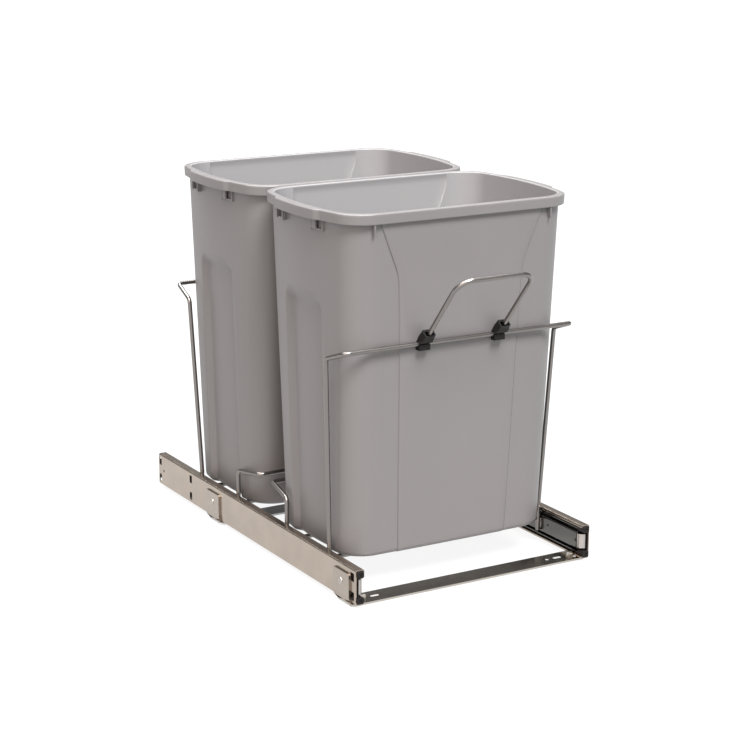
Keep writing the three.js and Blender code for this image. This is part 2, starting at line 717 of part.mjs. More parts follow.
// One quarter of a bin's outline, from the middle of a short side to that of a long side.
function quarter(height, offset, { grip = 0, recess = true, panel = true } = {}) {
  const drop = BIN_HEIGHT - height;
  const halfX = BIN_HALF_X - BIN_TAPER_X * drop + offset;
  const halfY = BIN_HALF_Y - BIN_TAPER_Y * drop + offset;
  const shortAt = (y) => halfX - BIN_BOW_X * (y / BIN_HALF_Y) ** 2;
  const longAt = (x) => halfY - BIN_BOW_Y * (x / BIN_HALF_X) ** 2;
  const cornerY = halfY - BIN_CORNER;
  const cornerX = shortAt(halfY) - BIN_CORNER;
  const depth = recess ? RECESS_DEPTH * clamp01((RECESS_TOP - height) / RECESS_RAMP) : 0;
  const stops = [0, 18, RECESS_HALF - RECESS_SIDE, RECESS_HALF];
  stops.push(GRIP_HALF, GRIP_HALF + GRIP_RAMP, cornerY);
  const side = stops.map((y) => {
    const inside = depth * clamp01((RECESS_HALF - y) / RECESS_SIDE);
    const step = grip * clamp01((GRIP_HALF + GRIP_RAMP - y) / GRIP_RAMP);
    return [shortAt(y) - inside + step, y];
  });
  const from = new THREE.Vector2(shortAt(cornerY), cornerY);
  const to = new THREE.Vector2(cornerX, longAt(cornerX));
  const pull = BIN_CORNER * 0.55;
  const slope = (2 * BIN_BOW_X * cornerY) / BIN_HALF_Y ** 2;
  const leave = new THREE.Vector2(-slope, 1).normalize().multiplyScalar(pull).add(from);
  const reach = new THREE.Vector2(1, (-2 * BIN_BOW_Y * cornerX) / BIN_HALF_X ** 2);
  reach.normalize().multiplyScalar(pull).add(to);
  const curve = new THREE.CubicBezierCurve(from, leave, reach, to);
  const bend = curve.getPoints(CORNER_STEPS).slice(1).map((p) => [p.x, p.y]);
  const line = Math.min(panelHalf(height), cornerX - 3 * PANEL_EDGE);
  const rise = panel ? PANEL_RISE : 0;
  const flat = [
    [line + PANEL_EDGE, longAt(line + PANEL_EDGE)],
    [line, longAt(line) + rise],
    [line / 2, longAt(line / 2) + rise],
    [0, longAt(0) + rise],
  ];
  return [...side, ...bend, ...flat];
}

// A whole outline of a bin at a height above its floor, moved out by `offset`.
function binRing(height, offset, options) {
  const q = quarter(height, offset, options);
  const back = q.slice(1).reverse();
  const ring = [
    ...q,
    ...back.map(([x, y]) => [-x, y]).slice(1),
    ...q.map(([x, y]) => [-x, y]).slice(0, 1),
    ...q.slice(1).map(([x, y]) => [-x, -y]),
    ...back.slice(1).map(([x, y]) => [x, -y]),
  ];
  return ring.map(([x, y]) => [x, y, BIN_FLOOR_Z + height]);
}

function binShell() {
  const plain = { recess: false, panel: false };
  const f = FLOOR_FILLET;
  const top = BIN_HEIGHT;
  const outside = [
    binRing(0, -f),
    binRing(f * 0.13, -f * 0.5),
    binRing(f * 0.5, -f * 0.13),
    binRing(f, 0),
    ...PANEL_LINE.slice(2).map(([height]) => binRing(height, 0)),
  ];
  const rim = { ...plain, grip: GRIP_STEP };
  const over = [
    binRing(top - RIM_SHEET, 0, plain),
    binRing(top - RIM_SHEET, RIM_OVERHANG - RIM_SHEET, rim),
    binRing(top - RIM_SKIRT, RIM_OVERHANG - RIM_SHEET, rim),
    binRing(top - RIM_SKIRT, RIM_OVERHANG, rim),
    binRing(top - RIM_ROUND, RIM_OVERHANG, rim),
    binRing(top, RIM_OVERHANG - RIM_ROUND, rim),
    binRing(top, -BIN_WALL + RIM_ROUND, plain),
    binRing(top - RIM_ROUND, -BIN_WALL, plain),
  ];
  const inside = [
    ...PANEL_LINE.slice(2).map(([height]) => binRing(height, -BIN_WALL)).reverse(),
    binRing(f, -BIN_WALL),
    binRing(BIN_WALL + f * 0.3, -f * 0.4),
    binRing(BIN_WALL, -f),
  ];
  return solid(skin([...outside, ...over, ...inside]));
}

// Ribs and U-shaped catches below the rim, all joined to the wall and the skirt. The catches
// at two opposite corners are half covered.
function gussets() {
  const height = BIN_HEIGHT - RIM_SKIRT / 2;
  const low = BIN_HEIGHT - RIM_SKIRT - GUSSET_DROP;
  const z = (h) => BIN_FLOOR_Z + h;
  const wallY = BIN_HALF_Y - BIN_TAPER_Y * RIM_SKIRT - BIN_BOW_Y * (GUSSET_X / BIN_HALF_X) ** 2;
  const wallX = (y) => BIN_HALF_X - BIN_TAPER_X * RIM_SKIRT - BIN_BOW_X * (y / BIN_HALF_Y) ** 2;
  const rib = (wall, reach) => [
    [wall - BIN_WALL / 2, z(low)],
    [wall + reach * 0.8, z(low)],
    [wall + reach, z(low + GUSSET_THICK)],
    [wall + reach, z(height)],
    [wall - BIN_WALL / 2, z(height)],
  ];
  const half = GUSSET_THICK / 2;
  const parts = [];
  for (const sx of [-1, 1]) {
    for (const sy of [-1, 1]) {
      const long = rib(wallY, RIM_OVERHANG - RIM_SHEET / 2).map(([y, h]) => [sy * y, h]);
      parts.push(alongX(long, sx * GUSSET_X - half, sx * GUSSET_X + half));
      const edges = [POCKET_Y - POCKET_WIDE / 2 + half, POCKET_Y + POCKET_WIDE / 2 - half];
      const covered = sx * sy > 0;
      const deep = [POCKET_DEEP, covered ? POCKET_SILL : POCKET_DEEP];
      edges.forEach((y, k) => {
        const side = rib(wallX(y), deep[k]).map(([x, h]) => [sx * x, h]);
        parts.push(alongY(side, sy * y - half, sy * y + half));
      });
      const ledge = [
        [wallX(edges[0]) - BIN_WALL / 2, edges[0]],
        [wallX(edges[0]) + deep[0] * 0.7, edges[0]],
        [wallX(edges[1]) + deep[1] * 0.7, edges[1]],
        [wallX(edges[1]) - BIN_WALL / 2, edges[1]],
      ].map(([x, y]) => [sx * x, sy * y]);
      parts.push(alongZ(ledge, z(low + GAP), z(low + GAP + GUSSET_THICK)));
      const cover = [
        [wallX(edges[0]) + COVER_OUT - GUSSET_THICK, edges[0]],
        [wallX(edges[0]) + COVER_OUT, edges[0]],
        [wallX(POCKET_Y) + COVER_OUT, POCKET_Y],
        [wallX(POCKET_Y) + COVER_OUT - GUSSET_THICK, POCKET_Y],
      ].map(([x, y]) => [sx * x, sy * y]);
      if (covered) {
        parts.push(alongZ(cover, z(low + GUSSET_THICK), z(height - COVER_DROP)));
      }
    }
  }
  return parts;
}

// ---------------------------------------------------------------- wire carriage

// The front or rear face of a bin's panel, at a height above the floor.
function faceY(place, sign, z) {
  const drop = RIM_TOP_Z - z;
  return BIN_Y[place] + sign * (BIN_HALF_Y - BIN_TAPER_Y * drop + PANEL_RISE);
}

const runY = (place, sign, z) => faceY(place, sign, z) + sign * (RUN_CLEARANCE + WIRE / 2);

// A hoop: two feet on the inner members, two legs, and a run across the unit.
function hoop({ legY, sign, legZ, runZ, place, leanX, leanY, tuck }) {
  const knee = leanX > 0 ? [[LEG_X, legY, LEG_KNEE_Z]] : [];
  const half = [
    [LEG_X, legY, LEG_FOOT_Z],
    ...knee,
    [LEG_X + leanX, legY + sign * leanY, legZ],
    [LEG_X + leanX - tuck, runY(place, sign, runZ), runZ],
  ];
  const left = half.map(([x, y, z]) => [-x, y, z]);
  return wire(bentLine([...left, ...half.reverse()], BEND, BEND_STEPS), WIRE);
}

const tall = { legZ: TALL_LEG_Z, runZ: TALL_RUN_Z, leanX: TALL_LEAN_X, leanY: TALL_LEAN_Y };
const short = { legZ: SHORT_LEG_Z, runZ: SHORT_RUN_Z, leanX: 0, leanY: 0 };
const HOOPS = {
  tall_hoop_front: {
    ...tall,
    legY: CARRIAGE_MID_Y - LEG_OFFSET,
    sign: -1,
    place: 'front',
    tuck: TALL_TUCK,
  },
  tall_hoop_rear: {
    ...tall,
    legY: CARRIAGE_MID_Y + LEG_OFFSET,
    sign: 1,
    place: 'rear',
    tuck: TALL_TUCK,
  },
  short_hoop_front: {
    ...short,
    legY: CARRIAGE_MID_Y - SHORT_LEG_OFFSET,
    sign: 1,
    place: 'front',
    tuck: SHORT_TUCK,
  },
  short_hoop_rear: {
    ...short,
    legY: CARRIAGE_MID_Y + SHORT_LEG_OFFSET,
    sign: -1,
    place: 'rear',
    tuck: SHORT_TUCK,
  },
};

// A straight rod that a bin stands on, between the legs or the inner members.
function rod(y, halfLength) {
  const ends = [-1, 1].map((side) => new THREE.Vector3(side * halfLength, y, ROD_Z));
  return wire(ends, WIRE);
}

const LEG_ROD = LEG_X - WIRE / 2 - GAP;
const MEMBER_ROD = INNER_FACE_X - GAP;
const RODS = {
  bin_rod_1: [HOOPS.tall_hoop_front.legY, LEG_ROD],
  bin_rod_2: [HOOPS.short_hoop_front.legY - REAR_ROD_SHIFT, MEMBER_ROD],
  bin_rod_3: [HOOPS.short_hoop_rear.legY, LEG_ROD],
  bin_rod_4: [HOOPS.tall_hoop_rear.legY - REAR_ROD_SHIFT, MEMBER_ROD],
};

// ---------------------------------------------------------------- handle

const PIVOT = [0, runY('front', -1, TALL_RUN_Z), TALL_RUN_Z];
const LEAN = (HANDLE_LEAN * Math.PI) / 180;

// A point `along` the handle's lean and `behind` it, as [y, z] from the hoop wire's middle.
const leaning = (along, behind) => [
  -Math.cos(LEAN) * along + Math.sin(LEAN) * behind,
  Math.sin(LEAN) * along + Math.cos(LEAN) * behind,
];

function handleWire() {
  const place = (x, along) => {
    const [y, z] = leaning(along, HANDLE_LIFT);
    return [HANDLE_MID_X + x, PIVOT[1] + y, PIVOT[2] + z];
  };
  const half = HANDLE_SPREAD / 2;
  const corners = [
    place(-half, HANDLE_SEAT),
    place(-half, HANDLE_REACH),
    place(half, HANDLE_REACH),
    place(half, HANDLE_SEAT),
  ];
  return wire(bentLine(corners, HANDLE_BEND, GRIP_STEPS), WIRE);
}

const grooveRadius = WIRE / 2 + GAP;
const groove = (x) => round(grooveRadius, 2 * CLIP_WIDTH, [x, PIVOT[1], PIVOT[2]], 'x', 16);
const fromPivot = (outline) => outline.map(([y, z]) => [PIVOT[1] + y, PIVOT[2] + z]);

// The clip's upper part: a leaning socket for the handle's leg over the hoop wire.
function clipSocket(x) {
  const front = HANDLE_LIFT - CLIP_FRONT;
  const back = HANDLE_LIFT + CLIP_BACK;
  const outline = [
    [grooveRadius - 1, 3 * GAP],
    [CLIP_NECK, 3 * GAP],
    leaning(2.2, CLIP_NECK + 0.4),
    leaning(CLIP_LENGTH * 0.42, back),
    leaning(CLIP_LENGTH - 0.5, back),
    leaning(CLIP_LENGTH, back - 0.4),
    leaning(CLIP_LENGTH, front + 0.4),
    leaning(CLIP_LENGTH - 0.5, front),
    leaning(CLIP_LENGTH * 0.4, front - 0.8),
    leaning(grooveRadius + 2, -CLIP_FRONT),
    [1 - grooveRadius, 0],
  ];
  const body = alongX(fromPivot(outline), x - CLIP_WIDTH / 2, x + CLIP_WIDTH / 2);
  const ends = [leaning(HANDLE_SEAT - GAP, HANDLE_LIFT), leaning(CLIP_LENGTH + 4, HANDLE_LIFT)];
  const line = ends.map(([y, z]) => new THREE.Vector3(x, PIVOT[1] + y, PIVOT[2] + z));
  const bore = solid(wire(line, WIRE + 2 * GAP, 12));
  const mouthHalf = WIRE / 2 + GAP + 0.1;
  const mouthEnds = [CLIP_LENGTH - CLIP_MOUTH_DEPTH, CLIP_LENGTH + 2];
  const mouthOutline = [
    leaning(mouthEnds[0], HANDLE_LIFT - mouthHalf),
    leaning(mouthEnds[0], HANDLE_LIFT + mouthHalf),
    leaning(mouthEnds[1], HANDLE_LIFT + mouthHalf),
    leaning(mouthEnds[1], HANDLE_LIFT - mouthHalf),
  ];
  const mouth = alongX(fromPivot(mouthOutline), x - CLIP_MOUTH / 2, x + CLIP_MOUTH / 2);
  return cut(body, [groove(x), bore, mouth]);
}

// The clip's lower part: a jaw under the hoop wire whose back bears on the front bin.
function clipJaw(x) {
  const pad = RUN_CLEARANCE + WIRE / 2 - GAP;
  const outline = [
    [-JAW_FRONT, 1.5 - JAW_DEPTH],
    [1.5 - JAW_FRONT, -JAW_DEPTH],
    [pad, -JAW_DEPTH],
    [pad, -JAW_DEPTH + 5],
    [CLIP_NECK, -JAW_PART],
    [grooveRadius - 1, -JAW_PART],
    [0, -1],
    [1 - grooveRadius, -GAP],
    [-JAW_FRONT, -GAP],
  ];
  const body = alongX(fromPivot(outline), x - CLIP_WIDTH / 2, x + CLIP_WIDTH / 2);
  return body.subtract(groove(x));
}

// ---------------------------------------------------------------- assembly

add('cross_bar_front', crossBar(-HALF_LENGTH + BAR_FRONT_INSET), ZINC);
add('cross_bar_rear', crossBar(BAR_REAR_Y), ZINC);
for (const [name, side] of [['left', -1], ['right', 1]]) {
  add(`outer_member_${name}`, outerMember(side), ZINC);
  add(`mid_member_${name}`, midMember(side), BRIGHT);
  add(`inner_member_${name}`, innerMember(side), BRIGHT);
  add(`outer_cage_${name}`, cage(side, OUTER_CAGE_WEB, OUTER_ROW, OUTER_BALL), BRIGHT);
  add(`inner_cage_${name}`, cage(side, INNER_CAGE_WEB, INNER_ROW, INNER_BALL), BRIGHT);
  add(`front_bumper_${name}`, bumper(side), BLACK);
  add(`rear_buffer_${name}`, rearBuffer(side), BLACK);
  add(`tab_rivet_front_${name}`, rivet(side, 'front'), BRIGHT);
  add(`tab_rivet_rear_${name}`, rivet(side, 'rear'), BRIGHT);
  add(`clip_socket_${name}`, clipSocket(HANDLE_MID_X + (side * HANDLE_SPREAD) / 2), BLACK);
  add(`clip_jaw_${name}`, clipJaw(HANDLE_MID_X + (side * HANDLE_SPREAD) / 2), BLACK);
}
for (const [name, sizes] of Object.entries(HOOPS)) add(name, hoop(sizes), NICKEL);
for (const [name, [y, half]] of Object.entries(RODS)) add(name, rod(y, half), NICKEL);
add('handle_wire', handleWire(), NICKEL);

const bin = union([binShell(), ...gussets()]);
for (const place of ['front', 'rear']) {
  add(`bin_${place}`, bin.translate([0, BIN_Y[place], 0]), PLASTIC);
}

// The origin is under the middle of the whole unit.
const middle = new THREE.Box3().setFromObject(root).getCenter(new THREE.Vector3());
root.position.set(-middle.x, -middle.y, 0);

export default root;
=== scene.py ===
"""Looks of a pull-out twin waste bin unit: two bins in a wire carriage on ball slides.

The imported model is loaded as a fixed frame, and every piece here is built in that frame: +X to
the right facing the front, -Y towards the front, +Z up. Sizes are in millimetres until a mesh is
published, which turns them into metres.
"""

from __future__ import annotations

import logging
import math
from dataclasses import dataclass, field
from enum import Enum
from typing import Sequence

import bmesh
import bpy
import numpy as np
from mathutils import Matrix, Vector
from mathutils.geometry import tessellate_polygon

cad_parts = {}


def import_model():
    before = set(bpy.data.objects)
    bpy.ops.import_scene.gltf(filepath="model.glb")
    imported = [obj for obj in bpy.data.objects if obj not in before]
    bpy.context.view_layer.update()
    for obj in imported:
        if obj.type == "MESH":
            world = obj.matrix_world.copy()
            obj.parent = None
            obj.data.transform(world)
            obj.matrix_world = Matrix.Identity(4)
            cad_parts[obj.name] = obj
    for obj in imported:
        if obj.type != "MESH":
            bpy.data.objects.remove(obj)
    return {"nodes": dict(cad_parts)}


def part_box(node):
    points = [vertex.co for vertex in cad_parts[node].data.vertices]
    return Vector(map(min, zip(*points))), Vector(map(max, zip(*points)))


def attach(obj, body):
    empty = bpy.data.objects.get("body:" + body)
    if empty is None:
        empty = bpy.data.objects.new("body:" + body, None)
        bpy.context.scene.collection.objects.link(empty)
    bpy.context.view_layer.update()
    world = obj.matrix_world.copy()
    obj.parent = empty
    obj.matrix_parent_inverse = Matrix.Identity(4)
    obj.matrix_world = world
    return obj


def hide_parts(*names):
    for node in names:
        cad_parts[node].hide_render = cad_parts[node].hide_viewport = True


LOG = logging.getLogger("scene")
MM = 0.001
NOISE_LOW, NOISE_HIGH = 0.3, 0.7  # most values of a noise texture lie between these
WELD_DISTANCE = 0.004  # points closer than this become one
BEVEL_ANGLE = 40.0  # only edges that turn by more degrees are rounded

HALF_SPREAD = 177.0  # from the middle plane to the slides' outer faces
SLIDE_DEPTH = 12.7
INNER_FACE = HALF_SPREAD - SLIDE_DEPTH  # from the middle plane to the slides' inner faces
WIRE = 6.0  # diameter of the wire of hoops, rods and handle
GAP = 0.3  # working gap between neighbouring pieces


class Slot(Enum):
    """Material slots of the record."""

    ZINC = "zinc_sheet"
    BRIGHT = "bright_steel"
    NICKEL = "nickel_wire"
    GREY = "grey_plastic"
    BLACK = "black_plastic"


class Side(Enum):
    """The two sides of the unit, as the sign of X."""

    LEFT = -1
    RIGHT = 1

    @property
    def label(self) -> str:
        """The side's name as node names end."""
        return self.name.lower()


class End(Enum):
    """The two ends of the unit, as the sign of Y."""

    FRONT = -1
    REAR = 1

    @property
    def label(self) -> str:
        """The end's name as node names end."""
        return self.name.lower()


class Plane(Enum):
    """The plane an outline lies in; a prism is drawn out along the axis that is left."""

    XY = (0, 1, 2)
    XZ = (0, 2, 1)
    YZ = (1, 2, 0)


# ------------------------------------------------------------------------------- arithmetic


def smooth(t: np.ndarray) -> np.ndarray:
    """Ease from 0 to 1: t is clipped to 0..1, then 3 t squared minus 2 t cubed.

    Args:
        t: Values of any size.

    Returns:
        The eased values, in the same shape.
    """
    u = np.clip(t, 0.0, 1.0)
    return u * u * (3.0 - 2.0 * u)


def unit(vector: np.ndarray) -> np.ndarray:
    """Scale a vector to length 1.

    Args:
        vector: A 2-D or 3-D vector.

    Returns:
        The unit vector.
    """
    return vector / np.linalg.norm(vector)


def z_to_x(sign: float) -> np.ndarray:
    """Matrix that turns the Z axis to +X or -X.

    Args:
        sign: 1 for +X, -1 for -X.

    Returns:
        3 by 3 matrix.
    """
    return np.array([[0.0, 0.0, sign], [0.0, 1.0, 0.0], [-sign, 0.0, 0.0]])


def read_vectors(items: bpy.types.bpy_prop_collection, attribute: str) -> np.ndarray:
    """A vector attribute of all points or faces of a mesh.

    Args:
        items: The mesh's points, normals or faces.
        attribute: The attribute's name.

    Returns:
        (n, 3) values.
    """
    values = np.empty(3 * len(items))
    items.foreach_get(attribute, values)
    return values.reshape(-1, 3)


def fillet(
    points: Sequence[Sequence[float]], radius: float, steps: int, closed: bool
) -> np.ndarray:
    """Round the corners of a polyline with circular arcs.

    Each corner is replaced by points on the circle of the given radius that touches both of its
    legs, or of the largest radius that its legs have room for.

    Args:
        points: Corners, 2-D or 3-D.
        radius: Radius of the arcs.
        steps: Segments in each arc.
        closed: Whether the last corner joins the first.

    Returns:
        The rounded line's points.
    """
    corners = [np.asarray(p, dtype=float) for p in points]
    count = len(corners)
    line: list[np.ndarray] = []
    for i, corner in enumerate(corners):
        if not closed and i in (0, count - 1):
            line.append(corner)
            continue
        back = corners[i - 1] - corner
        ahead = corners[(i + 1) % count] - corner
        half = math.acos(float(np.clip(unit(back) @ unit(ahead), -1.0, 1.0))) / 2.0
        if half > math.radians(89.5) or radius <= 0.0:
            line.append(corner)
            continue
        first_leg = 1.0 if not closed and i == 1 else 0.5
        last_leg = 1.0 if not closed and i == count - 2 else 0.5
        room = 0.98 * min(np.linalg.norm(back) * first_leg, np.linalg.norm(ahead) * last_leg)
        setback = min(radius / math.tan(half), room)
        reach = setback * math.tan(half)
        centre = corner + unit(unit(back) + unit(ahead)) * reach / math.sin(half)
        start = corner + unit(back) * setback - centre
        end = corner + unit(ahead) * setback - centre
        turn = math.pi - 2.0 * half
        for k in range(steps + 1):
            t = k / steps
            spot = math.sin((1.0 - t) * turn) * start + math.sin(t * turn) * end
            line.append(centre + spot / math.sin(turn))
    return np.array(line)


def ribbon(line: np.ndarray, thickness: float) -> np.ndarray:
    """Outline of a strip of sheet around its centre line.

    Each point moves half the thickness along the bisector of its two legs' normals, divided by
    the cosine of half the turn, so that both faces stay parallel to the line.

    Args:
        line: Centre line, (n, 2).
        thickness: Sheet thickness.

    Returns:
        A closed outline, (2 n, 2).
    """
    legs = np.diff(line, axis=0)
    legs /= np.linalg.norm(legs, axis=1)[:, None]
    normals = np.stack([-legs[:, 1], legs[:, 0]], axis=1)
    first = np.vstack([normals[:1], normals])
    last = np.vstack([normals, normals[-1:]])
    bisector = first + last
    bisector /= np.linalg.norm(bisector, axis=1)[:, None]
    reach = thickness / 2.0 / np.sum(bisector * last, axis=1)
    shift = bisector * reach[:, None]
    return np.vstack([line + shift, (line - shift)[::-1]])


def circle(centre: Sequence[float], radius: float, sides: int = 20) -> np.ndarray:
    """Points round a circle.

    Args:
        centre: Its middle, 2-D.
        radius: Its radius.
        sides: How many points.

    Returns:
        The points, (sides, 2).
    """
    angle = np.arange(sides) * 2.0 * math.pi / sides
    return np.asarray(centre) + radius * np.stack([np.cos(angle), np.sin(angle)], axis=1)


def obround(centre: Sequence[float], size: Sequence[float], radius: float) -> np.ndarray:
    """A rectangle with rounded corners, such as a slot.

    Args:
        centre: Its middle, 2-D.
        size: Width and height.
        radius: Corner radius.

    Returns:
        Its outline.
    """
    w, h = size[0] / 2.0, size[1] / 2.0
    box = [(-w, -h), (w, -h), (w, h), (-w, h)]
    return fillet(box, radius, 5, closed=True) + np.asarray(centre)


# ------------------------------------------------------------------------------- meshes


@dataclass
class Skin:
    """A surface: points in millimetres, quads as one array, and other polygons as a list.

    Attributes:
        points: (n, 3).
        quads: (k, 4) indices.
        polygons: Index lists of any length.
    """

    points: np.ndarray
    quads: np.ndarray = field(default_factory=lambda: np.zeros((0, 4), dtype=int))
    polygons: list[list[int]] = field(default_factory=list)

    @classmethod
    def loft(cls, rings: np.ndarray, caps: bool = True) -> Skin:
        """Skin closed rings of equally many points.

        Args:
            rings: (m, n, 3), ring by ring.
            caps: Whether a flat polygon closes each end.

        Returns:
            The skin.
        """
        m, n, _ = rings.shape
        index = np.arange(m * n).reshape(m, n)
        turned = np.roll(index, -1, axis=1)
        quads = np.stack([index[:-1], turned[:-1], turned[1:], index[1:]], axis=-1)
        ends = [list(range(n))[::-1], list(range((m - 1) * n, m * n))] if caps else []
        return cls(rings.reshape(-1, 3), quads.reshape(-1, 4), ends)

    def joined(self, *others: Skin) -> Skin:
        """This skin and others as one.

        Args:
            *others: The skins to add.

        Returns:
            The whole.
        """
        points, quads, polygons = [self.points], [self.quads], list(self.polygons)
        start = len(self.points)
        for other in others:
            points.append(other.points)
            quads.append(other.quads + start)
            polygons.extend([[i + start for i in polygon] for polygon in other.polygons])
            start += len(other.points)
        return Skin(np.vstack(points), np.vstack(quads), polygons)

    def moved(self, shift: Sequence[float], turn: np.ndarray | None = None) -> Skin:
        """A copy, turned by a matrix and then shifted.

        Args:
            shift: Offset in millimetres.
            turn: 3 by 3 matrix, or nothing.

        Returns:
            The copy.
        """
        points = self.points if turn is None else self.points @ np.asarray(turn).T
        return Skin(points + np.asarray(shift, dtype=float), self.quads, self.polygons)


def prism(
    outline: np.ndarray,
    low: float,
    high: float,
    plane: Plane,
    holes: Sequence[np.ndarray] = (),
    pits: Sequence[np.ndarray] = (),
    pit_depth: float = 1.0,
) -> Skin:
    """An outline drawn out into a solid, with holes through it or pits in its low face.

    Args:
        outline: Closed outline, (n, 2).
        low: Where it starts on the plane's normal axis.
        high: Where it ends.
        plane: The outline's plane.
        holes: Outlines of holes right through.
        pits: Outlines of flat-bottomed pits in the low face.
        pit_depth: How deep the pits go.

    Returns:
        The closed skin.
    """

    def lift(loop: np.ndarray, level: float) -> np.ndarray:
        """Place a loop in space.

        Args:
            loop: (n, 2).
            level: Where it is on the plane's normal axis.

        Returns:
            (n, 3).
        """
        spots = np.zeros((len(loop), 3))
        u, v, w = plane.value
        spots[:, u], spots[:, v], spots[:, w] = loop[:, 0], loop[:, 1], level
        return spots

    def face(loops: Sequence[np.ndarray], level: float) -> Skin:
        """Fill the first loop, less the others.

        Args:
            loops: The outline and its holes.
            level: Where they are on the plane's normal axis.

        Returns:
            The flat skin.
        """
        flat = [[Vector((p[0], p[1], 0.0)) for p in loop] for loop in loops]
        triangles = [list(t) for t in tessellate_polygon(flat)]
        return Skin(np.vstack([lift(loop, level) for loop in loops]), polygons=triangles)

    def wall(loop: np.ndarray, start: float, end: float) -> Skin:
        """Draw a loop out from one level to another, without ends."""
        return Skin.loft(np.stack([lift(loop, start), lift(loop, end)]), caps=False)

    parts = [wall(loop, low, high) for loop in (outline, *holes)]
    parts += [face([outline, *holes, *pits], low), face([outline, *holes], high)]
    for pit in pits:
        parts += [wall(pit, low, low + pit_depth), face([pit], low + pit_depth)]
    return parts[0].joined(*parts[1:])


def lathe(profile: Sequence[Sequence[float]], sides: int = 28) -> Skin:
    """Turn a profile of (radius, height) about Z; its ends close on the axis.

    Args:
        profile: Points from one end to the other.
        sides: Points round the axis.

    Returns:
        The skin.
    """
    shape = np.asarray(profile, dtype=float)
    angle = np.arange(sides) * 2.0 * math.pi / sides
    rings = np.empty((len(shape), sides, 3))
    rings[:, :, 0] = shape[:, :1] * np.cos(angle)
    rings[:, :, 1] = shape[:, :1] * np.sin(angle)
    rings[:, :, 2] = shape[:, 1:]
    return Skin.loft(rings)


def tube(line: np.ndarray, radius: float, sides: int = 20, chamfer: float = 0.5) -> Skin:
    """A round wire along a centre line, with chamfered ends.

    The section is carried along the line by the smallest rotation between tangents, so that it
    never twists.

    Args:
        line: Centre line, (n, 3).
        radius: Wire radius.
        sides: Points round the wire.
        chamfer: Size of the chamfer at each end.

    Returns:
        The skin.
    """
    first = line[0] + unit(line[1] - line[0]) * chamfer
    last = line[-1] + unit(line[-2] - line[-1]) * chamfer
    path = np.vstack([line[:1], first, line[1:-1], last, line[-1:]])
    radii = np.full(len(path), radius)
    radii[[0, -1]] -= chamfer
    tangents = np.gradient(path, axis=0)
    tangents /= np.linalg.norm(tangents, axis=1)[:, None]
    lead = np.array([1.0, 0.0, 0.0]) if abs(tangents[0, 0]) < 0.9 else np.array([0.0, 0.0, 1.0])
    across = unit(lead - tangents[0] * (lead @ tangents[0]))
    angle = np.arange(sides) * 2.0 * math.pi / sides
    rings = np.empty((len(path), sides, 3))
    for i, (spot, tangent) in enumerate(zip(path, tangents)):
        if i:
            swing = Vector(tangents[i - 1]).rotation_difference(Vector(tangent))
            across = unit(np.array(swing @ Vector(across)))
        other = np.cross(tangent, across)
        ring = np.outer(np.cos(angle), across) + np.outer(np.sin(angle), other)
        rings[i] = spot + radii[i] * ring
    return Skin.loft(rings)


# ------------------------------------------------------------------------------- finishes


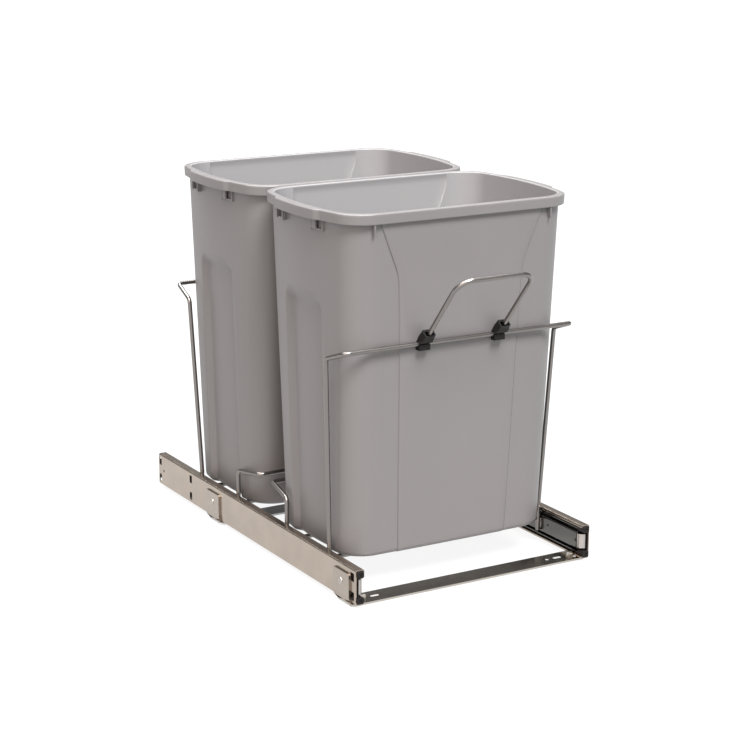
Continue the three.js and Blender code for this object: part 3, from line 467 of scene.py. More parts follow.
class Nodes:
    """A short way to write a material's nodes.

    Attributes:
        tree: The material's node tree.
        shader: Its surface shader.
        place: The object's own coordinates.
    """

    def __init__(self, material: bpy.types.Material) -> None:
        """Empty the material's tree and give it a shader and an output.

        Args:
            material: The material whose tree is filled.
        """
        self.tree = material.node_tree
        self.tree.nodes.clear()
        self.shader = self.tree.nodes.new("ShaderNodeBsdfPrincipled")
        output = self.tree.nodes.new("ShaderNodeOutputMaterial")
        self.link(self.shader.outputs["BSDF"], output.inputs["Surface"])
        self.place = self.tree.nodes.new("ShaderNodeTexCoord").outputs["Object"]

    def link(self, source: bpy.types.NodeSocket, target: bpy.types.NodeSocket) -> None:
        """Join two sockets.

        Args:
            source: An output.
            target: An input.
        """
        self.tree.links.new(source, target)

    def noise(self, stretch: Sequence[float], detail: float = 3.0) -> bpy.types.NodeSocket:
        """Smooth noise over the object's own coordinates.

        Args:
            stretch: Waves per metre along X, Y and Z.
            detail: Octaves.

        Returns:
            The noise's value, mostly NOISE_LOW to NOISE_HIGH.
        """
        mapping = self.tree.nodes.new("ShaderNodeMapping")
        mapping.inputs["Scale"].default_value = tuple(stretch)
        self.link(self.place, mapping.inputs["Vector"])
        noise = self.tree.nodes.new("ShaderNodeTexNoise")
        noise.inputs["Scale"].default_value = 1.0
        noise.inputs["Detail"].default_value = detail
        self.link(mapping.outputs["Vector"], noise.inputs["Vector"])
        return noise.outputs["Fac"]

    def spread(self, value: bpy.types.NodeSocket, low: float, high: float) -> bpy.types.NodeSocket:
        """Map noise to a range.

        Args:
            value: Noise.
            low: Result at NOISE_LOW.
            high: Result at NOISE_HIGH.

        Returns:
            The mapped value.
        """
        node = self.tree.nodes.new("ShaderNodeMapRange")
        node.inputs["From Min"].default_value = NOISE_LOW
        node.inputs["From Max"].default_value = NOISE_HIGH
        node.inputs["To Min"].default_value = low
        node.inputs["To Max"].default_value = high
        self.link(value, node.inputs["Value"])
        return node.outputs["Result"]

    def tint(
        self, value: bpy.types.NodeSocket, dark: Sequence[float], light: Sequence[float]
    ) -> bpy.types.NodeSocket:
        """Blend two colours by noise.

        Args:
            value: Noise.
            dark: Linear colour at NOISE_LOW.
            light: Linear colour at NOISE_HIGH.

        Returns:
            The colour.
        """
        ramp = self.tree.nodes.new("ShaderNodeValToRGB")
        low, high = ramp.color_ramp.elements
        low.position, high.position = NOISE_LOW, NOISE_HIGH
        low.color, high.color = (*dark, 1.0), (*light, 1.0)
        self.link(value, ramp.inputs["Fac"])
        return ramp.outputs["Color"]

    def blend(
        self, share: str, colour: bpy.types.NodeSocket, other: Sequence[float]
    ) -> bpy.types.NodeSocket:
        """Move a colour towards another where the surface carries a mark.

        Args:
            share: Name of the mesh's mark, 0 to 1.
            colour: Colour at 0.
            other: Linear colour at 1.

        Returns:
            The blended colour.
        """
        mark = self.tree.nodes.new("ShaderNodeAttribute")
        mark.attribute_name = share
        mix = self.tree.nodes.new("ShaderNodeMix")
        mix.data_type = "RGBA"
        inputs = {socket.identifier: socket for socket in mix.inputs}
        outputs = {socket.identifier: socket for socket in mix.outputs}
        self.link(mark.outputs["Fac"], inputs["Factor_Float"])
        self.link(colour, inputs["A_Color"])
        inputs["B_Color"].default_value = (*other, 1.0)
        return outputs["Result_Color"]

    def bump(self, value: bpy.types.NodeSocket, depth_mm: float) -> None:
        """Raise the surface by a texture, on top of any bump set before.

        Args:
            value: Height, 0 to 1.
            depth_mm: Height of 1, in millimetres.
        """
        node = self.tree.nodes.new("ShaderNodeBump")
        node.inputs["Strength"].default_value = 1.0
        node.inputs["Distance"].default_value = depth_mm * MM
        self.link(value, node.inputs["Height"])
        normal = self.shader.inputs["Normal"]
        if normal.is_linked:
            self.link(normal.links[0].from_socket, node.inputs["Normal"])
        self.link(node.outputs["Normal"], normal)


@dataclass(frozen=True)
class Finish:
    """A surface finish.

    Attributes:
        name: The material's name.
        slot: The record's material slot; not used by this script.
        colour: Linear base colour.
        roughness: Middle roughness.
        metallic: 1 for bare metal.
    """

    name: str
    slot: Slot | None
    colour: tuple[float, float, float]
    roughness: float
    metallic: float = 0.0

    def material(self) -> bpy.types.Material:
        """The Blender material, made on first use.

        Returns:
            The material.
        """
        made = bpy.data.materials.get(self.name)
        if made:
            return made
        made = bpy.data.materials.new(self.name)
        made.use_nodes = True
        made.diffuse_color = (*self.colour, 1.0)
        nodes = Nodes(made)
        nodes.shader.inputs["Metallic"].default_value = self.metallic
        self.dress(nodes)
        return made

    def dress(self, nodes: Nodes) -> None:
        """Fill in colour, roughness and bump.

        Args:
            nodes: The material's tree.
        """
        nodes.shader.inputs["Base Color"].default_value = (*self.colour, 1.0)
        nodes.shader.inputs["Roughness"].default_value = self.roughness

    def shaded(self, factor: float) -> tuple[float, float, float]:
        """The base colour, made darker or lighter.

        Args:
            factor: 1 keeps it.

        Returns:
            The linear colour.
        """
        r, g, b = (min(1.0, channel * factor) for channel in self.colour)
        return (r, g, b)


@dataclass(frozen=True)
class Plated(Finish):
    """Plated steel: cloudy plating over the grain of rolled sheet or drawn wire.

    Attributes:
        grain: Waves per metre of the rolling lines along X, Y and Z.
        grain_depth: Height of the rolling lines in millimetres.
        cloud: Waves per metre of the plating's clouds.
        contrast: How far the clouds move the colour.
    """

    grain: tuple[float, float, float] = (2600.0, 60.0, 2600.0)
    grain_depth: float = 0.004
    cloud: float = 28.0
    contrast: float = 0.06

    def dress(self, nodes: Nodes) -> None:
        """Fill in colour, roughness and bump.

        Args:
            nodes: The material's tree.
        """
        clouds = nodes.noise((self.cloud,) * 3, detail=5.0)
        dark, light = self.shaded(1.0 - self.contrast), self.shaded(1.0 + self.contrast)
        nodes.link(nodes.tint(clouds, dark, light), nodes.shader.inputs["Base Color"])
        lines = nodes.noise(self.grain, detail=2.0)
        vary = 0.14 * self.roughness
        rough = nodes.spread(lines, self.roughness - vary, self.roughness + vary)
        nodes.link(rough, nodes.shader.inputs["Roughness"])
        nodes.bump(lines, self.grain_depth)


@dataclass(frozen=True)
class Moulded(Finish):
    """Moulded plastic: a fine stipple, faint flow marks and a soft sheen.

    Attributes:
        stipple: Grains per metre.
        stipple_depth: Height of the grain in millimetres.
        flow: Waves per metre of the flow marks along X, Y and Z.
        contrast: How far the flow marks move the colour.
        gloss: Strength of the mirror-like part of the sheen; 0.5 is plain plastic.
        inside_painted_light: Linear colour of surfaces that carry the inside mark, lighter than
            the outside: painted light falling into the bin.
    """

    stipple: float = 1500.0
    stipple_depth: float = 0.012
    flow: tuple[float, float, float] = (14.0, 14.0, 3.0)
    contrast: float = 0.02
    gloss: float = 0.5
    inside_painted_light: tuple[float, float, float] | None = None

    def dress(self, nodes: Nodes) -> None:
        """Fill in colour, roughness and bump.

        Args:
            nodes: The material's tree.
        """
        marks = nodes.noise(self.flow, detail=4.0)
        dark, light = self.shaded(1.0 - self.contrast), self.shaded(1.0 + self.contrast)
        colour = nodes.tint(marks, dark, light)
        # The inside mark moves the colour to a lighter one: painted light on the bin's inside
        # walls and floor.
        if self.inside_painted_light:
            colour = nodes.blend("inside", colour, self.inside_painted_light)
        nodes.link(colour, nodes.shader.inputs["Base Color"])
        nodes.shader.inputs["Specular IOR Level"].default_value = self.gloss
        vary = 0.03
        rough = nodes.spread(marks, self.roughness - vary, self.roughness + vary)
        nodes.link(rough, nodes.shader.inputs["Roughness"])
        nodes.bump(nodes.noise((self.stipple,) * 3, detail=2.0), self.stipple_depth)


@dataclass(frozen=True)
class LightTable(Finish):
    """A pale surface that is lit from within as well as from above.

    Attributes:
        glow: Radiance of its own light.
    """

    glow: float = 0.6

    def dress(self, nodes: Nodes) -> None:
        """Fill in colour, roughness and glow.

        Args:
            nodes: The material's tree.
        """
        super().dress(nodes)
        nodes.shader.inputs["Emission Color"].default_value = (1.0, 1.0, 1.0, 1.0)
        nodes.shader.inputs["Emission Strength"].default_value = self.glow


ZINC = Plated("rolled_zinc", Slot.ZINC, (0.4, 0.342, 0.29), 0.24, 1.0)
# The bar's tabs: the same sheet with an upright grain, coloured darker than the bar as painted
# shade.
UPRIGHT_SHADED = Plated(
    "rolled_zinc_upright_shaded", Slot.ZINC, (0.375, 0.33, 0.288), 0.26, 1.0, grain=(2600.0, 2600.0, 60.0)
)
CROSSWISE = Plated(
    "rolled_zinc_crosswise", Slot.ZINC, (0.47, 0.44, 0.40), 0.22, 1.0, grain=(60.0, 2600.0, 2600.0)
)
# Bright steel of the slides' middle and inner members and cages, coloured near-black: painted
# shade inside the slide's channels.
BRIGHT = Plated("rolled_bright_painted_shade", Slot.BRIGHT, (0.13, 0.124, 0.118), 0.2, 1.0, contrast=0.04)
POLISHED = Plated("polished_steel", Slot.BRIGHT, (0.46, 0.435, 0.41), 0.38, 1.0, contrast=0.03)
# A paler, half-metallic copy of the cross bars' sheet for the rear bar: painted light.
PAINTED_LIGHT_ZINC = Plated(
    "rolled_zinc_painted_light", Slot.ZINC, (0.5, 0.51, 0.52), 0.5, 0.35, grain=(60.0, 2600.0, 2600.0)
)
# Cut edges of bare steel coloured near-white: partly the bare metal and partly painted light.
CUT_PAINTED_LIGHT = Plated("cut_edge_painted_light", Slot.ZINC, (0.93, 0.92, 0.9), 0.3, 1.0, contrast=0.02)
NICKEL = Plated(
    "drawn_nickel",
    Slot.NICKEL,
    (0.22, 0.208, 0.2),
    0.3,
    1.0,
    grain=(1800.0,) * 3,
    grain_depth=0.003,
    contrast=0.03,
)
# Its lighter inside colour is painted light, not a second plastic.
GREY = Moulded(
    "moulded_grey", Slot.GREY, (0.127, 0.1215, 0.1225), 0.42, inside_painted_light=(0.222, 0.221, 0.228)
)
BLACK = Moulded(
    "moulded_black", Slot.BLACK, (0.009, 0.008, 0.008), 0.36, stipple=2200.0, gloss=0.16
)
FLOOR = LightTable("floor", None, (0.045, 0.045, 0.045), 0.95, glow=0.9)


# ------------------------------------------------------------------------------- pieces


@dataclass
class Assembly:
    """A group of pieces that ride on the frame's bodies."""

    def publish(
        self,
        name: str,
        skin: Skin,
        finish: Finish,
        body: str,
        nodes: Sequence[str] = (),
        bevel: float = 0.0,
        crease: float = 32.0,
    ) -> bpy.types.Object:
        """Make a skin into an object that rides on a body.

        Args:
            name: The object's name.
            skin: Its surface in millimetres.
            finish: What it is made of.
            body: The body it moves with.
            nodes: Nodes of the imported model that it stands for.
            bevel: Width of the rounding on sharp edges, in millimetres.
            crease: Edges that turn by more than this many degrees are sharp.

        Returns:
            The object.
        """
        mesh = bpy.data.meshes.new(name)
        sizes = np.array([4] * len(skin.quads) + [len(p) for p in skin.polygons])
        corners = np.concatenate([skin.quads.ravel(), *map(np.array, skin.polygons)])
        mesh.vertices.add(len(skin.points))
        mesh.vertices.foreach_set("co", (skin.points * MM).ravel())
        mesh.loops.add(len(corners))
        mesh.loops.foreach_set("vertex_index", corners.astype(np.int32))
        mesh.polygons.add(len(sizes))
        mesh.polygons.foreach_set("loop_start", (np.cumsum(sizes) - sizes).astype(np.int32))
        mesh.update(calc_edges=True)
        mesh.validate()
        weld = bmesh.new()
        weld.from_mesh(mesh)
        bmesh.ops.remove_doubles(weld, verts=weld.verts, dist=WELD_DISTANCE * MM)
        bmesh.ops.recalc_face_normals(weld, faces=weld.faces)
        weld.to_mesh(mesh)
        weld.free()
        mesh.polygons.foreach_set("use_smooth", np.ones(len(mesh.polygons), dtype=bool))
        mesh.set_sharp_from_angle(angle=math.radians(crease))
        piece = bpy.data.objects.new(name, mesh)
        bpy.context.scene.collection.objects.link(piece)
        mesh.materials.append(finish.material())
        if bevel:
            rounding = piece.modifiers.new("rounding", "BEVEL")
            rounding.width = bevel * MM
            rounding.segments = 2
            rounding.limit_method = "ANGLE"
            rounding.angle_limit = math.radians(BEVEL_ANGLE)
        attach(piece, body)
        if nodes:
            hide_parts(*nodes)
        LOG.info("built %s, %d points", name, len(mesh.vertices))
        return piece


@dataclass
class Slide(Assembly):
    """One three-part ball slide.

    Section points are (depth, rise): depth inwards from the outer face, rise from the middle.

    Attributes:
        side: The side of the unit it is on.
        middle_y: Middle of its length.
        middle_z: Middle of its height.
        length: Length of the outer member.
        half_height: Half the outer member's height.
        outer_sheet: Its thickness.
        outer_lip: How far its lips turn back towards the middle.
        web_inset: From its edges' centre line to where the flat web starts.
        slot_rise: Middle of the web's slots, above and below the slide's middle.
        slot_height: Height of the slots.
        slot_corner: Corner radius of the slots.
        front_slot: (distance from the front end, length) of the front slots.
        rear_slots: The same from the rear end, for the rear slots.
        rear_hole: (distance from the rear end, diameter) of the web's hole.
        sheet: Thickness of the middle and inner members.
        bend: Centre line radius of the rolled bends.
        mid_outside: Half the height over the middle member's flanges.
        mid_web: Depth of its web's outer face.
        mid_flange_end: Depth of its flanges' ends.
        mid_front: How far behind the outer member's front end it starts.
        mid_rear: How far before the outer member's rear end it ends.
        nose: How far its bumper stands out before the outer member.
        inner_outside: Half the height over the inner member's flanges.
        inner_flange: Depth of its flanges' ends.
        inner_front: How far behind the outer member's front end its tab starts.
        inner_rear: How far before the outer member's rear end it ends.
        inner_rivet: Distance of its rivet head from the outer member's front end.
        inner_hole: Distance of the black disc that stands for its hole, painted shade, from the
            outer member's front end.
        tab_curl: Outer radius of its curled front tab.
        tab_half: Half the tab's height.
    """

    side: Side
    middle_y: float
    middle_z: float
    length: float = 570.0
    half_height: float = 22.85
    outer_sheet: float = 1.3
    outer_lip: float = 3.2
    web_inset: float = 2.4
    slot_rise: float = 12.4
    slot_height: float = 11.0
    slot_corner: float = 0.9
    front_slot: tuple[float, float] = (8.2, 9.0)
    rear_slots: tuple[tuple[float, float], ...] = ((106.2, 7.3), (5.3, 7.3))
    rear_hole: tuple[float, float] = (16.6, 3.8)
    sheet: float = 1.2
    bend: float = 1.7
    mid_outside: float = 16.91
    mid_web: float = 2.4
    mid_flange_end: float = 11.1
    mid_front: float = 10.0
    mid_rear: float = 4.0
    nose: float = 2.0
    inner_outside: float = 11.87
    inner_flange: float = 5.3
    inner_front: float = 1.5
    inner_rear: float = 6.0
    inner_rivet: float = 74.5
    inner_hole: float = 12.8
    tab_curl: float = 7.8
    tab_half: float = 9.6

    @property
    def front(self) -> float:
        """Y of the outer member's front end."""
        return self.middle_y - self.length / 2.0

    @property
    def rear(self) -> float:
        """Y of the outer member's rear end."""
        return self.middle_y + self.length / 2.0

    def across(self, section: np.ndarray) -> np.ndarray:
        """Turn (depth, rise) into (x, z).

        Args:
            section: (n, 2).

        Returns:
            (n, 2).
        """
        x = self.side.value * (HALF_SPREAD - section[:, 0])
        return np.stack([x, self.middle_z + section[:, 1]], axis=1)

    def channel(self, half: list[tuple[float, float]], sheet: float, y0: float, y1: float) -> Skin:
        """A rolled channel whose section is mirrored about the slide's middle line.

        Args:
            half: Corners of the upper half's centre line.
            sheet: Its thickness.
            y0: Its front end.
            y1: Its rear end.

        Returns:
            The skin.
        """
        corners = [*half, *[(d, -h) for d, h in reversed(half)]]
        line = fillet(corners, self.bend, 5, closed=False)
        return prism(self.across(ribbon(line, sheet)), y0, y1, Plane.XZ)

    def outer_member(self) -> None:
        """The outer channel: two rolled edges and a web with slots and a hole."""
        t = self.outer_sheet / 2.0
        web = self.half_height - t - self.web_inset
        lip = SLIDE_DEPTH - t
        half = [(lip, self.half_height - self.outer_lip), (lip, self.half_height - t)]
        half += [(t, self.half_height - t), (t, web)]
        parts: list[Skin] = []
        for sign in (1.0, -1.0):
            line = fillet([(d, sign * h) for d, h in half], self.bend, 5, closed=False)
            edge = self.across(ribbon(line, self.outer_sheet))
            parts.append(prism(edge, self.front, self.rear, Plane.XZ))
        z = self.middle_z
        low, high = z - web, z + web
        flat = [(self.front, low), (self.rear, low), (self.rear, high), (self.front, high)]
        slots = [(self.front + self.front_slot[0], self.front_slot[1])]
        slots += [(self.rear - inset, long) for inset, long in self.rear_slots]
        holes = [
            obround((y, z + sign * self.slot_rise), (long, self.slot_height), self.slot_corner)
            for y, long in slots
            for sign in (1.0, -1.0)
        ]
        inset, wide = self.rear_hole
        holes.append(circle((self.rear - inset, z), wide / 2.0))
        faces = sorted(self.side.value * (HALF_SPREAD - d) for d in (0.0, self.outer_sheet))
        parts.append(prism(np.array(flat), faces[0], faces[1], Plane.YZ, holes))
        name = f"outer_member_{self.side.label}"
        whole = parts[0].joined(*parts[1:])
        self.publish(f"{name}_rolled", whole, ZINC, "base", [name], crease=28.0)

    def mid_member(self) -> None:
        """The middle channel, a sheet bent into a C."""
        t = self.sheet / 2.0
        top = self.mid_outside - t
        half = [(self.mid_flange_end, top), (self.mid_web + t, top)]
        name = f"mid_member_{self.side.label}"
        start, end = self.front + self.mid_front, self.rear - self.mid_rear
        skin = self.channel(half, self.sheet, start, end)
        self.publish(f"{name}_rolled", skin, BRIGHT, f"{name}_body", [name])

    def bumper(self) -> None:
        """The moulded bumper before the middle channel: two pitted lumps joined by a bar."""
        low = self.inner_outside + 2.0 * GAP
        high = self.half_height - self.outer_sheet - GAP
        near, far = self.outer_sheet + GAP, self.mid_flange_end
        start, back = self.front - self.nose, self.front + self.mid_front - GAP
        corner, pit_radius, pit_depth = 2.2, 2.1, 1.2
        lumps: list[Skin] = []
        for sign in (1.0, -1.0):
            box = [(near, sign * low), (far, sign * low), (far, sign * high), (near, sign * high)]
            lump = self.across(fillet(box, corner, 5, closed=True))
            spot = self.across(np.array([[(near + far) / 2.0, sign * (low + high) / 2.0]]))[0]
            pit = circle(spot, pit_radius, 16)
            lumps.append(prism(lump, start, back, Plane.XZ, pits=[pit], pit_depth=pit_depth))
        into_lump, setback = 1.0, 0.6
        web = [(self.mid_web, -low - into_lump), (self.mid_web + self.sheet, -low - into_lump)]
        web += [(d, -rise) for d, rise in reversed(web)]
        bar = prism(self.across(np.array(web)), start + setback, back, Plane.XZ)
        name = f"front_bumper_{self.side.label}"
        skin = lumps[0].joined(lumps[1], bar)
        body = f"mid_member_{self.side.label}_body"
        self.publish(f"{name}_moulded", skin, BLACK, body, [name], bevel=0.35)

    def inner_member(self) -> None:
        """The inner channel with its curled front tab, a black disc in place of a hole, which is
        painted shade, and a formed rivet head.

        The tab is a quarter circle of the curl's radius, seen from above.
        """
        t = self.sheet / 2.0
        top = self.inner_outside - t
        start = self.front + self.inner_front + self.tab_curl
        half = [(self.inner_flange, top), (SLIDE_DEPTH - t, top)]
        body = self.channel(half, self.sheet, start, self.rear - self.inner_rear)
        curl = self.tab_curl - t
        angle = np.linspace(0.0, math.pi / 2.0, 12)
        depth = SLIDE_DEPTH - t - curl * (1.0 - np.cos(angle))
        plan = np.stack([depth, start - curl * np.sin(angle)], axis=1)
        root = 2.0
        plan = np.vstack([[SLIDE_DEPTH - t, start + root], plan])
        outline = ribbon(plan, self.sheet)
        outline[:, 0] = self.side.value * (HALF_SPREAD - outline[:, 0])
        low, high = self.middle_z - self.tab_half, self.middle_z + self.tab_half
        tab = prism(outline, low, high, Plane.XY)
        face = self.side.value * INNER_FACE
        turn = z_to_x(-self.side.value)
        dome = lathe([(0.01, 0.9), (1.6, 0.8), (2.6, 0.5), (3.2, 0.0), (3.2, -0.6), (0.01, -0.6)])
        dome = dome.moved((face, self.front + self.inner_rivet, self.middle_z), turn)
        # A thin black disc in the face stands in for the hole: painted shade, as the channel has
        # no hole cut.
        pit = lathe([(0.01, 0.05), (2.0, 0.05), (2.0, -1.6), (0.01, -1.6)], 18)
        pit = pit.moved((face, self.front + self.inner_hole, self.middle_z), turn)
        name = f"inner_member_{self.side.label}"
        self.publish(f"{name}_rolled", body.joined(dome), BRIGHT, "carriage", [name], bevel=0.2)
        self.publish(f"{name}_tab", tab, POLISHED, "carriage", [name], bevel=0.2)
        self.publish(f"{name}_hole", pit, BLACK, "carriage")

    def rear_buffer(self) -> None:
        """The moulded stop at the outer member's rear end, wider at its root."""
        near, far = self.outer_sheet + GAP, self.mid_flange_end
        half_near, half_far, corner, thick = 15.0, 13.0, 1.4, 3.4
        box = [(near, -half_near), (far, -half_far), (far, half_far), (near, half_near)]
        outline = self.across(fillet(box, corner, 4, closed=True))
        start = self.rear - self.mid_rear + GAP
        name = f"rear_buffer_{self.side.label}"
        skin = prism(outline, start, start + thick, Plane.XZ)
        self.publish(f"{name}_moulded", skin, BLACK, "base", [name], bevel=0.4)

    def cages(self) -> None:
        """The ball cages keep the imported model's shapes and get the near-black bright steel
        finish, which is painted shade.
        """
        for kind in ("outer_cage", "inner_cage"):
            node = frame_node(f"{kind}_{self.side.label}")
            node.data.materials.clear()
            node.data.materials.append(BRIGHT.material())
            LOG.info("finished %s", node.name)

    def build(self) -> None:
        """Build the whole slide."""
        self.outer_member()
        self.mid_member()
        self.bumper()
        self.inner_member()
        self.rear_buffer()
        self.cages()


@dataclass
class CrossBar(Assembly):
    """A cross bar: one bent sheet under both slides, with a riveted tab at each end.

    Attributes:
        end: Front or rear.
        front_y: Its front edge.
        sheet: Its thickness.
        width: Its width along Y.
        bend: Outer radius of the bend at the foot of a tab.
        bend_lead: How far the bend starts before its tab.
        tab_height: Top of a tab above the cabinet's floor.
        tab_width: Width of a tab along Y.
        tab_setback: How far a tab stands behind the bar's front edge.
        rivet_height: Middle of a rivet above the cabinet's floor.
        hole: Diameter of the screw holes and width of the slots.
        screw_x: X of the round screw holes.
        slot_x: X of the slots.
        slot_length: Length of a slot.
        pilot: (x, distance from the front edge) of the holes beside the tabs.
        tongue_width: Width of the lanced tongues beside the slides.
        tongue_rise: How far they rise above the bar.
        tongue_y: How far they stand behind the bar's front edge.
    """

    end: End
    front_y: float
    sheet: float = 2.5
    width: float = 32.0
    bend: float = 3.2
    bend_lead: float = 3.0
    tab_height: float = 41.0
    tab_width: float = 40.0
    tab_setback: float = 5.5
    rivet_height: float = 27.3
    hole: float = 4.6
    screw_x: tuple[float, ...] = (-151.0, 127.0)
    slot_x: tuple[float, ...] = (-136.0, 143.0)
    slot_length: float = 12.0
    pilot: tuple[float, float] = (166.0, 9.0)
    tongue_width: float = 10.0
    tongue_rise: float = 8.0
    tongue_y: float = 8.5

    @property
    def rivet_y(self) -> float:
        """Y of the rivets through its tabs."""
        return self.front_y + self.tab_setback + self.tab_width / 2.0

    def round_holes(self) -> list[tuple[float, float]]:
        """The round holes: two on the bar's middle line and one beside each tab.

        Returns:
            Their middles (x, y).
        """
        x, inset = self.pilot
        screws = [(spot, self.front_y + self.width / 2.0) for spot in self.screw_x]
        return screws + [(side.value * x, self.front_y + inset) for side in Side]

    def slots(self) -> list[tuple[float, float]]:
        """Middles (x, y) of the slots."""
        return [(spot, self.front_y + self.width / 2.0) for spot in self.slot_x]

    def part_finishes(self, piece: bpy.types.Object) -> None:
        """Give hole walls a near-white cut finish, partly painted light, and tabs an upright grain
        with painted shade.

        Args:
            piece: The bar's object.
        """
        mesh, margin = piece.data, 0.05
        mesh.materials.append(CUT_PAINTED_LIGHT.material())
        mesh.materials.append(UPRIGHT_SHADED.material())
        x, y, z = (read_vectors(mesh.polygons, "center") / MM).T
        # Hole walls take the near-white cut finish: partly bare metal, partly painted light.
        bare = np.zeros(len(x), dtype=bool)
        cuts = [(spot, self.hole) for spot in self.round_holes()]
        cuts += [(spot, self.slot_length) for spot in self.slots()]
        for (cut_x, cut_y), long in cuts:
            near_x = np.abs(x - cut_x) < long / 2.0 + margin
            bare |= near_x & (np.abs(y - cut_y) < self.hole / 2.0 + margin)
        bare &= np.abs(read_vectors(mesh.polygons, "normal")[:, 2]) < 0.5
        # Tabs get the darker upright copy of the sheet: painted shade.
        tabs = (z > self.bend) & (np.abs(x) > HALF_SPREAD - margin)
        mesh.polygons.foreach_set("material_index", (bare + 2 * tabs).astype(np.int32))

    def flat(self) -> Skin:
        """The flat bar with its screw holes, slots and two lanced tongues.

        Returns:
            The skin.
        """
        y, edge = self.front_y, HALF_SPREAD + self.sheet - self.bend
        foot = y + self.tab_setback - self.bend_lead
        half = [(edge, y + self.width), (edge, foot), (edge - 2.2, y + 0.6), (edge - 4.5, y)]
        outline = np.array([*half, *[(-x, v) for x, v in reversed(half)]])
        size, corner = (self.slot_length, self.hole), self.hole / 2.0 - 0.01
        holes = [circle(spot, self.hole / 2.0) for spot in self.round_holes()]
        holes += [obround(spot, size, corner) for spot in self.slots()]
        plate = prism(outline, 0.0, self.sheet, Plane.XY, holes)
        low, high, round_off = self.sheet / 2.0 - 0.05, self.sheet + self.tongue_rise, 2.2
        start = y + self.tongue_y
        tongues: list[Skin] = []
        for side in Side:
            near = side.value * (INNER_FACE - 4.0 * GAP)
            far = near - side.value * self.tongue_width
            shape = [(near, low), (far, low), (far, high), (near, high)]
            tongue = fillet(shape, round_off, 4, closed=True)
            tongues.append(prism(tongue, start, start + self.sheet, Plane.XZ))
        return plate.joined(*tongues)

    def tab(self, side: Side) -> Skin:
        """The bend and the upright tab outside one slide.

        The bend is a quarter ring whose outer radius is the bend's and whose thickness is the
        sheet's. The tab's outline is rounded everywhere but where it meets the bend.

        Args:
            side: Which end of the bar.

        Returns:
            The skin.
        """
        outer = HALF_SPREAD + self.sheet
        head = self.front_y + self.tab_setback
        foot, back, heel = head - self.bend_lead, head + self.tab_width, self.front_y + self.width
        angle = np.linspace(0.0, math.pi / 2.0, 9)
        ring = []
        for radius in (self.bend, self.bend - self.sheet):
            x = outer - self.bend + radius * np.sin(angle)
            ring.append(np.stack([side.value * x, self.bend - radius * np.cos(angle)], axis=1))
        curve = prism(np.vstack([ring[0], ring[1][::-1]]), foot, heel, Plane.XZ)
        shape = [(foot, self.bend), (heel, self.bend), (back - 3.5, 6.0), (back, 9.5)]
        shape += [(back, self.tab_height), (head, self.tab_height), (head - 0.6, 12.0)]
        rounded = fillet(shape, 3.4, 5, closed=True)
        above = rounded[rounded[:, 1] > self.bend + 1.5]
        outline = np.vstack([shape[:2], above])
        faces = sorted(side.value * x for x in (HALF_SPREAD, outer))
        return curve.joined(prism(outline, faces[0], faces[1], Plane.YZ))

    def rivet(self, side: Side) -> None:
        """The domed rivet through one tab.

        Args:
            side: Which end of the bar.
        """
        profile = [(0.01, 1.1), (0.9, 1.1), (1.3, 1.5), (2.4, 1.45), (3.6, 1.05), (4.3, 0.4)]
        profile += [(4.4, 0.0), (2.3, -0.02), (2.3, -3.7), (0.01, -3.7)]
        spot = (side.value * (HALF_SPREAD + self.sheet), self.rivet_y, self.rivet_height)
        skin = lathe(profile).moved(spot, z_to_x(side.value))
        node = f"tab_rivet_{self.end.label}_{side.label}"
        self.publish(f"{node}_turned", skin, POLISHED, "base", [node], crease=60.0)

    def build(self) -> None:
        """Build the bar and its rivets."""
        skin = self.flat().joined(*[self.tab(side) for side in Side])
        node = f"cross_bar_{self.end.label}"
        # The rear bar is the same sheet as the front one but gets the paler copy: painted light.
        finish = CROSSWISE if self.end is End.FRONT else PAINTED_LIGHT_ZINC
        name = f"{node}_bent"
        bar = self.publish(name, skin, finish, "base", [node], bevel=0.25, crease=30.0)
        self.part_finishes(bar)
        for side in Side:
            self.rivet(side)


